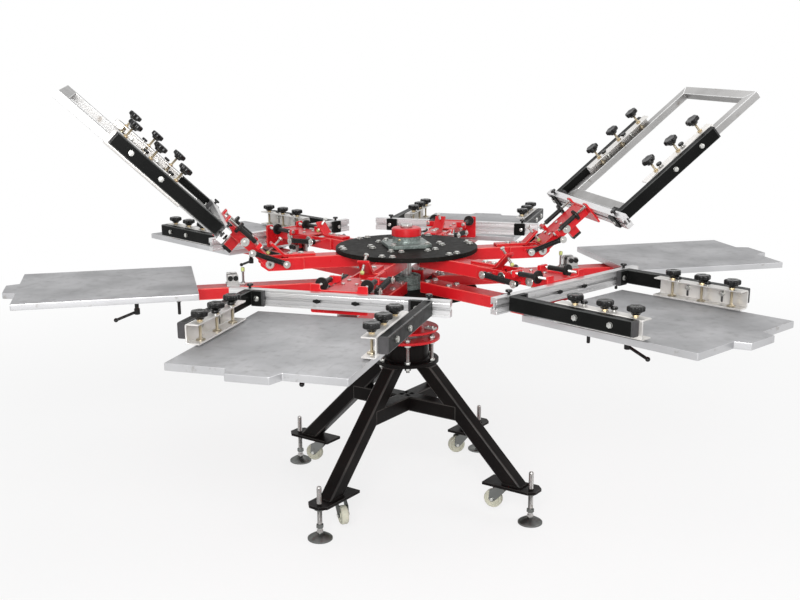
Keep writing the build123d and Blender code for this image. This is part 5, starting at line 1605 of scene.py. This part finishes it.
@dataclass
class HeadChannel:
    """The red channel of a head with its front plate, lugs, tongue and spring pins."""

    half: float = 45.0
    wall: float = 5.0
    top: float = 60.0
    bottom: float = 31.0
    rear: float = 434.0
    web_start: float = 462.0
    end: float = 644.0
    plate: float = 6.0
    plate_half: float = 82.0
    plate_z: Span = (-2.0, 62.0)
    tab: float = 54.0
    tab_top: float = 78.0
    web_x: Span = (518.0, 546.0)
    lug_x: Span = (512.0, 524.0)
    lug_z: Span = (55.0, 75.0)
    lug_reach: float = 73.0
    spring_pin: tuple[float, float] = (519.5, 36.0)
    tongue_x: Span = (561.0, 593.0)
    tongue_half: float = 12.0
    tongue_bottom: float = -5.0
    shoe: float = 11.0
    washer: tuple[float, float] = (555.0, 45.0)

    def build(self) -> None:
        """Model one channel and copy it to the six heads."""
        mark = BENCH.mark()
        inner = self.half - self.wall
        BENCH.block((self.web_start, self.end), (-self.half, self.half),
                    (self.top - self.wall, self.top), Finish.RED, 2.2, 3)
        side = BENCH.mark()
        self._side(inner)
        BENCH.pair(side)
        BENCH.block(self.web_x, (-inner, inner), (self.bottom, self.bottom + self.wall),
                    Finish.RED, 0.8)
        self._tongue()
        self._front_plate()
        screws = BENCH.mark()
        nut(HERE, 6.0, 4.0, Finish.ZINC)
        BENCH.repeat(screws, [shift(x, y, self.top) for x in (506, 556) for y in (-20, 20)])
        BENCH.give_heads(mark, "head_channel")

    def _side(self, inner: float) -> None:
        """One flange of the channel with its adjuster lug, washer and spring pin."""
        outline = [(self.rear, 29), (self.rear, 54), (self.rear + 8, self.top),
                   (self.end, self.top), (self.end, self.bottom), (473.5, self.bottom), (465.5, 29)]
        BENCH.plate(rounded(outline, 4), (inner, self.half), Across.Y, Finish.RED, 1.2)
        (start, end), (low, high) = self.lug_x, self.lug_z
        lug = [(start, low), (end, low), (end, high), (start, high)]
        BENCH.plate(rounded(lug, 3), (inner, self.lug_reach), Across.Y, Finish.RED, 1.0)
        x, z = self.washer
        axle = facing(x, 0, z, (0, 1, 0))
        face = self.half
        disc = [(0, face), (13.4, face), (14, face + 0.6), (14, face + 2.4), (13.2, face + 3),
                (0, face + 3)]
        BENCH.turned(disc, axle, Finish.ZINC, steps=36)
        nut(facing(x, face + 3, z, (0, 1, 0)), 6.0, 4.0, Finish.ZINC)
        spring_pin(*self.spring_pin, inner)

    def _tongue(self) -> None:
        """The registration tongue and its shoe."""
        half = self.tongue_half
        BENCH.block(self.tongue_x, (-half, half), (self.tongue_bottom, self.top - self.wall),
                    Finish.RED, 0.8)
        start, end = self.tongue_x
        low = self.tongue_bottom - self.shoe
        nose = [(-half, self.tongue_bottom), (-half, low + 5), (-half + 4, low), (half - 4, low),
                (half, low + 5), (half, self.tongue_bottom)]
        BENCH.plate(nose, (start, end), Across.X, Finish.OXIDE, 0.6)

    def _front_plate(self) -> None:
        """The front plate with a raised tab for each adjuster."""
        low, high = self.plate_z
        wide = self.plate_half
        tab = self.tab
        outline = [(-wide, low), (wide, low), (wide, self.tab_top), (tab, self.tab_top),
                   (tab, high), (-tab, high), (-tab, self.tab_top), (-wide, self.tab_top)]
        BENCH.plate(rounded(outline, 5), (self.end, self.end + self.plate), Across.X,
                    Finish.RED, 1.0)


@dataclass
class MicroAdjuster:
    """A threaded adjuster: rod, sleeve and knurled ring."""

    y: float = 66.0
    z: float = 68.0
    start: float = 512.0
    end: float = 650.0
    sleeve: Span = (534.0, 598.0)
    ring: Span = (598.0, 606.0)
    ring_radius: float = 19.0
    tooth: float = 10.0
    groove: Span = (4.0, 6.0)
    groove_floor: float = 0.95

    def build(self) -> None:
        """Model the two adjusters of a head and copy them to the six heads."""
        mark = BENCH.mark()
        along = facing(0, self.y, self.z, (1, 0, 0))
        rod = [(0, self.start - 5.0)] + threaded(4, (self.start - 4.4, self.sleeve[0]), 1.6, 0.6)
        rod += threaded(4, (self.ring[1], self.end - 0.6), 1.6, 0.6) + [(0, self.end)]
        BENCH.turned(rod, along, Finish.ZINC, steps=18)
        for low, high in ((self.start - 5, self.start), (639, 644)):
            BENCH.rod((low, self.y, self.z), (high, self.y, self.z), 7, Finish.ZINC, 0.7, 6)
        low, high = self.sleeve
        sleeve = [(4, low), (7, low), (7.5, low + 0.5), (7.5, low + 12), (6.9, low + 12.6),
                  (6.9, low + 14), (7.5, low + 14.6), (7.5, high), (4, high)]
        BENCH.turned(sleeve, along, Finish.OXIDE, closed=True, steps=30)
        self._ring(along)
        BENCH.pair(mark)
        BENCH.give_heads(mark, "micro_adjusters")

    def _ring(self, along: Matrix) -> None:
        """The knurled ring: a turned disc whose rim is cut into teeth."""
        edge = self.ring_radius
        profile = disc_profile(4, edge, self.ring, 1.2)
        ring = BENCH.turned(profile, along, Finish.OXIDE, closed=True, steps=72)
        centre = Vector((0, self.y, self.z)) * MM
        for vertex in ring.data.vertices:
            spoke = vertex.co - centre
            angle = math.degrees(math.atan2(spoke.z, spoke.y)) % self.tooth
            rim = math.hypot(spoke.y, spoke.z) > (edge - 0.6) * MM
            if rim and self.groove[0] < angle < self.groove[1]:
                vertex.co = Vector((vertex.co.x, *(centre.yz + spoke.yz * self.groove_floor)))


@dataclass
class Crossbar:
    """The slotted bar across a head, with slot screws, corner blocks and clamps."""

    x: Span = (650.0, 672.0)
    reach: float = 315.0
    z: Span = (12.7, 57.6)
    mouth: float = 8.0
    slot: float = 17.0
    lip: float = 2.5
    depth: float = 8.5
    screw_y: float = 55.0
    corner: tuple[float, float, float] = (13.0, 211.0, 243.0)
    clamp: tuple[float, float, float] = (6.0, 228.0, 269.0)
    knob: tuple[float, float, float] = (661.0, 255.5, 14.0)

    def build(self) -> None:
        """Model one crossbar and copy it to the six heads."""
        mark = BENCH.mark()
        BENCH.plate(self.section(), (-self.reach, self.reach), Across.Y, Finish.EXTRUSION, 0.5, 1)
        side = BENCH.mark()
        self._slot_screw()
        self._corner()
        self._clamp()
        BENCH.pair(side)
        BENCH.give_heads(mark, "crossbar")

    def section(self) -> Outline:
        """The extrusion's section: a T-slot and two fine grooves on each face."""
        back, front = self.x
        low, high = self.z
        middle = (low + high) / 2
        mouth, slot = self.mouth / 2, self.slot / 2
        edge: Outline = [(front, low), (front, low + 6), (front - 0.7, low + 6.7),
                         (front, low + 7.4), (front, middle - mouth),
                         (front - self.lip, middle - mouth), (front - self.lip, middle - slot),
                         (front - self.depth, middle - slot)]
        half = edge + [(x, 2 * middle - z) for x, z in reversed(edge)]
        return half + [(back + front - x, 2 * middle - z) for x, z in half]

    def _slot_screw(self) -> None:
        """The black wing screw in the slot, beside the channel."""
        front = self.x[1]
        middle = (self.z[0] + self.z[1]) / 2
        axis = facing(0, self.screw_y, middle, (1, 0, 0))
        stem = [(0, front - 7), (3, front - 7), (3, front), (6, front), (6, front + 2.6),
                (4.4, front + 4), (0, front + 4)]
        BENCH.turned(stem, axis, Finish.KNOB, steps=20)
        wing = [(self.screw_y - 11, middle - 3), (self.screw_y - 4, middle - 5),
                (self.screw_y + 4, middle - 5), (self.screw_y + 11, middle - 3),
                (self.screw_y + 11, middle + 3), (self.screw_y + 4, middle + 5),
                (self.screw_y - 4, middle + 5), (self.screw_y - 11, middle + 3)]
        BENCH.plate(rounded(wing, 2, 2), (front + 0.3, front + 3.2), Across.X, Finish.KNOB, 0.7)

    def _corner(self) -> None:
        """The black block in the corner between the bar and a side arm."""
        front = self.x[1]
        depth, start, end = self.corner
        low, high = self.z
        BENCH.block((front, front + depth), (start, end), (low + 0.4, high - 0.4),
                    Finish.ARM, 1.6, 3)
        BENCH.block((front, front + depth + 0.4), (start - 5.5, start - 0.6), (low + 1, high - 1),
                    Finish.CAP, 0.5)
        middle = (low + high) / 2
        bolt = facing(front + depth, (start + end) / 2, middle, (1, 0, 0))
        nut(bolt, 6.5, 3.6, Finish.ZINC, 8.0)

    def _clamp(self) -> None:
        """The clamp plate and bolt behind the bar and the small knob on top of it."""
        back = self.x[0]
        depth, start, end = self.clamp
        low, high = self.z
        plate = [(start, low), (end, low), (end, high), (start, high)]
        BENCH.plate(rounded(plate, 4), (back - depth, back), Across.X, Finish.ARM, 0.8)
        x, y, height = self.knob
        middle = (low + high) / 2
        nut(facing(back - depth, y, middle, (-1, 0, 0)), 7.0, 6.0, Finish.ZINC)
        knob = [(0, high), (4, high), (4, high + 6), (8, high + 7), (9.5, high + 8.5),
                (9.5, high + 11.5), (8.4, high + 13.4), (6, high + height), (0, high + height)]
        BENCH.turned(knob, shift(x, y, 0), Finish.KNOB, steps=28)


@dataclass
class SideArms:
    """The two tube arms of a head with their screen channels, bolts and small knobs."""

    x: Span = (672.0, 1060.0)
    y: Span = (243.0, 268.0)
    z: Span = (16.0, 57.0)
    cap: float = 3.0
    rail_x: Span = (801.0, 1072.0)
    rail_depth: float = 38.0
    rail_z: Span = (5.0, 57.0)
    rail_wall: float = 4.0
    bolts: tuple[float, float] = (890.0, 997.0)
    screws: tuple[float, float, float] = (853.0, 945.0, 1036.0)
    screw_y: float = 220.0
    knobs: tuple[float, float] = (875.0, 967.0)
    knob_y: float = 212.0
    keyhole: float = 6.5
    keyhole_z: Span = (12.0, 31.0)

    def build(self) -> None:
        """Model the arms of one head and copy them to the six heads."""
        mark = BENCH.mark()
        BENCH.block(self.x, self.y, self.z, Finish.ARM, 2.6, 3)
        (low_y, high_y), (low, high) = self.y, self.z
        cap = [(low_y, low), (high_y, low), (high_y, high), (low_y, high)]
        BENCH.plate(rounded(cap, 3.5), (self.x[1], self.x[1] + self.cap), Across.X, Finish.CAP, 0.9)
        self._rail()
        middle = (low + high) / 2
        for x in self.bolts:
            nut(facing(x, high_y, middle, (0, 1, 0)), 8.0, 6.0, Finish.ZINC, 8.0)
            nut(facing(x, low_y - self.rail_wall, middle, (0, -1, 0)), 6.5, 7.0, Finish.ZINC, 8.5)
            self._keyhole(x, low_y - self.rail_wall)
        for x in self.screws:
            BENCH.rod((x, self.screw_y, high), (x, self.screw_y, high + 4.5), 8,
                      Finish.BRASS, 0.8, 6)
        for x in self.knobs:
            self._small_knob(x, high)
        BENCH.pair(mark)
        BENCH.give_heads(mark, "side_arms")

    def _rail(self) -> None:
        """The screen channel: a C section with rounded outer corners, open towards the screen."""
        outer = self.y[0]
        inner = outer - self.rail_depth
        low, high = self.rail_z
        wall = self.rail_wall
        hollow = [(inner, high - wall), (outer - wall, high - wall), (outer - wall, low + wall),
                  (inner, low + wall)]
        corner = rounded([(inner, low), (outer, low), (outer, high), (inner, high)], 7, 5)
        outline = [(inner, low)] + corner[6:18] + [(inner, high)] + hollow
        BENCH.plate(outline, self.rail_x, Across.X, Finish.RAIL, 0.5, 1)

    def _keyhole(self, x: float, face: float) -> None:
        """A thin dark plate on the channel's wall under a bolt, standing for the slot through which
        the channel is hung on the arm: the black arm seen through it, with painted shade in the
        slot.
        """
        low, high = self.keyhole_z
        half = self.keyhole / 2
        slot = [(x - half, low), (x + half, low), (x + half, high), (x - half, high)]
        # A dark plastic finish on a thin plate in place of a cut slot: painted shade and the black
        # arm behind.
        BENCH.plate(rounded(slot, half * 0.9), (face - 0.4, face + 0.4), Across.Y, Finish.CAP, 0)

    def _small_knob(self, x: float, high: float) -> None:
        """A low black thumb knob on its stem, with the screw's end beside it."""
        stem = [(0, high), (4, high), (4, high + 4.5), (0, high + 4.5)]
        BENCH.turned(stem, shift(x, self.knob_y, 0), Finish.ZINC, steps=18)
        low = high + 4.5
        knob = [(0, low), (8.2, low), (9.3, low + 1.2), (9.5, low + 3), (9.5, low + 5.4),
                (8.6, low + 7), (7, low + 7.5), (5, low + 6.9), (0, low + 6.9)]
        BENCH.turned(knob, shift(x, self.knob_y, 0), Finish.KNOB, steps=30)


@dataclass
class ClampScrews:
    """The six clamp screws of a head, each with a dished foot and a lobed hand knob."""

    x: tuple[float, float, float] = (853.0, 945.0, 1036.0)
    y: float = 220.0
    screw: float = 4.0
    foot: float = 12.0
    foot_height: float = 5.0
    shank: float = 47.5
    neck: float = 8.0
    knob: float = 22.5
    knob_height: float = 14.0
    knob_core: float = 12.0
    lobes: int = 6
    lobe_depth: float = 0.2
    seats: tuple[float, float] = (9.3, 34.3)
    turn_steps: tuple[float, float] = (0.9, 1.3)

    def build(self) -> None:
        """Model one screw and copy it to the channels of the six heads."""
        mark = BENCH.mark()
        foot = [(0, 0), (10.4, 0), (self.foot, 0.9), (self.foot, 2.2), (10.6, 3.0), (7.5, 3.4),
                (6.4, 5), (0, 5)]
        BENCH.turned(foot, HERE, Finish.YELLOW_ZINC, steps=32)
        top = self.foot_height + self.shank
        rod = [(0, self.foot_height)] + threaded(self.screw, (self.foot_height, top + 2), 1.9,
                                                 0.7) + [(0, top + 2)]
        BENCH.turned(rod, HERE, Finish.YELLOW_ZINC, steps=16)
        self._knob(top)
        screw = BENCH.finish_piece(mark)
        for head in Head:
            self._place(screw, head)
        bpy.data.objects.remove(screw)

    def _knob(self, low: float) -> None:
        """The hand knob: a turned skirt and a crowned top that is pushed into six lobes."""
        neck = low + self.neck
        top = neck + self.knob_height
        wide = self.knob
        profile = [(0, low), (10.2, low), (11.2, low + 0.8), (11.25, low + 2), (13.5, low + 4.5),
                   (17.5, neck - 1), (20.5, neck), (wide - 0.6, neck + 1.2), (wide, neck + 3),
                   (wide, top - 4.5), (wide - 0.7, top - 2.2), (wide - 3, top - 0.5),
                   (wide - 6, top), (9, top - 0.5), (8, top - 1.2), (0, top - 1.2)]
        knob = BENCH.turned(profile, HERE, Finish.KNOB, steps=60)
        for vertex in knob.data.vertices:
            radius = vertex.co.xy.length / MM
            if radius < self.knob_core:
                continue
            angle = math.atan2(vertex.co.y, vertex.co.x)
            dip = (0.5 - 0.5 * math.cos(self.lobes * angle)) ** 1.6
            share = min(1.0, (radius - self.knob_core) / (wide - self.knob_core))
            vertex.co.xy *= 1 - self.lobe_depth * dip * share

    def _place(self, screw: bpy.types.Object, head: Head) -> None:
        """Copy the screw to one head's six places, each turned its own way.

        Args:
            screw: The modelled screw.
            head: The head.
        """
        seat = self.seats[1] if head.holds_screen else self.seats[0]
        mark = BENCH.mark()
        spots = [(x, side * self.y) for x in self.x for side in (-1, 1)]
        for number, (x, y) in enumerate(spots):
            angle = self.turn_steps[0] * number + self.turn_steps[1] * head.index
            turn = Matrix.Rotation(angle, 4, "Z")
            place = head.place() @ shift(x, y, seat) @ turn
            BENCH.loose.append(BENCH.copy(screw, place, number + head.index))
        piece = BENCH.join(mark)
        BENCH.loose.pop()
        name = f"{head.label}_clamp_screws"
        BENCH.deliver(piece, f"{name}_dressed", name, [name])


@dataclass
class Springs:
    """A head's two lifting springs, each wound close between eyes on two pins."""

    y: float = 66.0
    head_pin: tuple[float, float] = (70.0, -8.0)
    coil: float = 7.2
    wire: float = 1.55
    eye: float = 9.5
    eye_half: float = 5.0
    plug: float = 17.0
    pitch: float = 3.6

    def build(self) -> None:
        """Model the springs of the six heads, at the length each has at rest."""
        for head in Head:
            self._head(head)

    def _head(self, head: Head) -> None:
        """One head's pair of springs.

        Args:
            head: The head.
        """
        tilt = math.radians(head.tilt)
        reach, drop = self.head_pin
        end_x = PIVOT[0] + reach * math.cos(tilt) - drop * math.sin(tilt)
        end_z = PIVOT[1] + reach * math.sin(tilt) + drop * math.cos(tilt)
        pin_x, pin_z = SPRING_PIN
        run = Vector((end_x - pin_x, 0, end_z - pin_z))
        length = run.length
        mark = BENCH.mark()
        inside = length - 2 * self.plug
        turns = round(inside / self.pitch)
        BENCH.coil(shift(0, 0, self.plug - 1), self.coil, self.wire, inside + 2,
                   turns, Finish.OXIDE)
        core = [(0, self.plug), (4.6, self.plug), (4.6, length - self.plug),
                (0, length - self.plug)]
        BENCH.turned(core, HERE, Finish.OXIDE, steps=14)
        for low, way in ((0.0, 1), (length, -1)):
            self._end(low, way)
        pair = BENCH.join(mark)
        across = run.normalized()
        spin = Matrix(((across.z, 0, across.x), (0, 1, 0), (-across.x, 0, across.z)))
        pair.data.transform(shift(pin_x, self.y, pin_z) @ spin.to_4x4())
        BENCH.pair(mark)
        piece = BENCH.finish_piece(mark)
        piece.data.transform(station(head.index))
        piece.name = f"{head.label}_springs_dressed"
        LOG.info("%s: %d faces", piece.name, len(piece.data.polygons))
        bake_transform(piece)
        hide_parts(f"{head.label}_springs")

    def _end(self, low: float, way: int) -> None:
        """One end of a spring: the eye on its pin and the plug that the coil is wound on.

        Args:
            low: The pin's place along the spring.
            way: The way to the coil, 1 or -1.
        """
        ring = [(5.2, -self.eye_half), (8.9, -self.eye_half), (self.eye, 0.6 - self.eye_half),
                (self.eye, self.eye_half - 0.6), (8.9, self.eye_half), (5.2, self.eye_half)]
        BENCH.turned(ring, facing(0, 0, low, (0, 1, 0)), Finish.OXIDE, closed=True, steps=30)
        plug = [(0, 8), (6.4, 8), (8.4, 9), (9, 10), (9, self.plug - 2), (8, self.plug),
                (0, self.plug)]
        BENCH.turned(plug, facing(0, 0, low, (0, 0, way)), Finish.OXIDE, steps=26)


@dataclass
class ScreenFrame:
    """An empty screen frame: four aluminium rails, mitred and welded."""

    x: Span = (687.0, 1250.0)
    half: float = 230.0
    rail: float = 35.0
    z: Span = (9.0, 34.0)

    def build(self) -> None:
        """Model the frame and copy it to the two raised heads."""
        mark = BENCH.mark()
        start, end = self.x
        rail, half = self.rail, self.half
        long_rail = [(start, half), (start + rail, half - rail),
                     (end - rail, half - rail), (end, half)]
        BENCH.plate(long_rail, self.z, Across.Z, Finish.SCREEN, 1.6, 3)
        BENCH.pair(mark)
        short = BENCH.mark()
        cross = [(start, -half), (start, half), (start + rail, half - rail),
                 (start + rail, rail - half)]
        BENCH.plate(cross, self.z, Across.Z, Finish.SCREEN, 1.6, 3)
        far = [(start + end - x, y) for x, y in cross]
        BENCH.plate(far, self.z, Across.Z, Finish.SCREEN, 1.6, 3)
        BENCH.join(short)
        BENCH.give_heads(mark, "screen_frame", framed=True)


# Studio


@dataclass
class Studio:
    """The pale floor, the soft lamps, the sky and the camera, with lengths in metres."""

    camera_place: Point = (-0.82418, -3.39606, 1.46789)
    camera_turn: Point = (1.310577, 0.011015, -0.207588)
    lens: float = 49.126
    camera_shift: tuple[float, float] = (0.035755, 0.048489)
    lamps: tuple[tuple[Point, float, float], ...] = (
        ((-1.4, -4.4, 2.3), 2.0, 185),
        ((3.8, -2.8, 3.0), 3.0, 50),
        ((0.6, 2.6, 4.6), 4.0, 45),
    )
    lit: Point = (0, 0, 0.7)
    floor_radius: float = 80.0
    floor_glow: float = 0.74
    floor_fade: Span = (1.2, 4.5)
    sky_level: float = 0.5

    def build(self) -> None:
        """Set up the camera, floor, lamps, sky and view."""
        scene = bpy.context.scene
        scene.view_settings.view_transform = "Standard"
        data = bpy.data.cameras.new("camera")
        data.lens = self.lens
        data.sensor_width = 36
        data.shift_x, data.shift_y = self.camera_shift
        camera = bpy.data.objects.new("camera", data)
        camera.location = self.camera_place
        camera.rotation_euler = self.camera_turn
        scene.collection.objects.link(camera)
        scene.camera = camera
        self._floor()
        for place, size, power in self.lamps:
            self._lamp(place, size, power)
        self._sky(scene)

    def _floor(self) -> None:
        """A wide pale floor that keeps the press's shadow and turns white away from it."""
        bpy.ops.object.select_all(action="DESELECT")
        bpy.ops.mesh.primitive_circle_add(vertices=64, radius=self.floor_radius, fill_type="NGON")
        floor = bpy.context.active_object
        floor.name = "floor"
        net = Net(bpy.data.materials.new("floor"))
        place = net.add("ShaderNodeTexCoord", {}, {}, "Object")
        away = net.add("ShaderNodeVectorMath", {"operation": "LENGTH"}, {0: place}, "Value")
        glow_share = self.floor_glow + away.spread(*self.floor_fade) * (1 - self.floor_glow)
        matt = net.add("ShaderNodeBsdfDiffuse", {}, {"Color": (0.88, 0.88, 0.88, 1)})
        glow = net.add("ShaderNodeEmission", {}, {"Color": (1, 1, 1, 1), "Strength": 1.0})
        factor = self._seen(net) * glow_share
        shader = net.add("ShaderNodeMixShader", {}, {0: factor, 1: matt, 2: glow})
        net.add("ShaderNodeOutputMaterial", {}, {"Surface": shader})
        floor.data.materials.append(net.owner)

    def _seen(self, net: Net) -> Signal:
        """One for camera, glossy and transmission rays, zero for the rest."""
        camera, glossy, clear = (net.add("ShaderNodeLightPath", {}, {}, name)
                                 for name in ("Is Camera Ray", "Is Glossy Ray",
                                              "Is Transmission Ray"))
        return net.add("ShaderNodeMath", {"operation": "MINIMUM"},
                       {0: camera + glossy + clear, 1: 1.0})

    def _lamp(self, place: Point, size: float, power: float) -> None:
        """A soft square lamp turned to the press."""
        data = bpy.data.lights.new("lamp", "AREA")
        data.size = size
        data.energy = power
        lamp = bpy.data.objects.new("lamp", data)
        lamp.location = place
        beam = Vector(self.lit) - Vector(place)
        lamp.rotation_euler = beam.to_track_quat("-Z", "Y").to_euler()
        bpy.context.scene.collection.objects.link(lamp)

    def _sky(self, scene: bpy.types.Scene) -> None:
        """A sky that is white to the camera and lights the press evenly.

        Args:
            scene: The scene.
        """
        world = bpy.data.worlds.new("sky")
        scene.world = world
        net = Net(world)
        level = self.sky_level + self._seen(net) * (1 - self.sky_level)
        light = net.add("ShaderNodeBackground", {}, {"Color": (1, 1, 1, 1), "Strength": level})
        net.add("ShaderNodeOutputWorld", {}, {"Surface": light})


def main() -> None:
    """Build the press class by class and report each piece."""
    logging.basicConfig(level=logging.INFO, format="%(name)s %(message)s")
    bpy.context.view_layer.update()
    Studio().build()
    stand = BaseFrame()
    stand.build()
    LevellingFeet().build(stand)
    Caster().build(stand)
    Pedestal().build(stand)
    CentreShaft().build()
    LowerHub().build()
    PalletArm().build()
    Pallet().build()
    Gate().build()
    UpperCarousel().build()
    BaseArm().build()
    HeadChannel().build()
    MicroAdjuster().build()
    Crossbar().build()
    SideArms().build()
    ClampScrews().build()
    Springs().build()
    ScreenFrame().build()


if __name__ == "__main__":
    main()
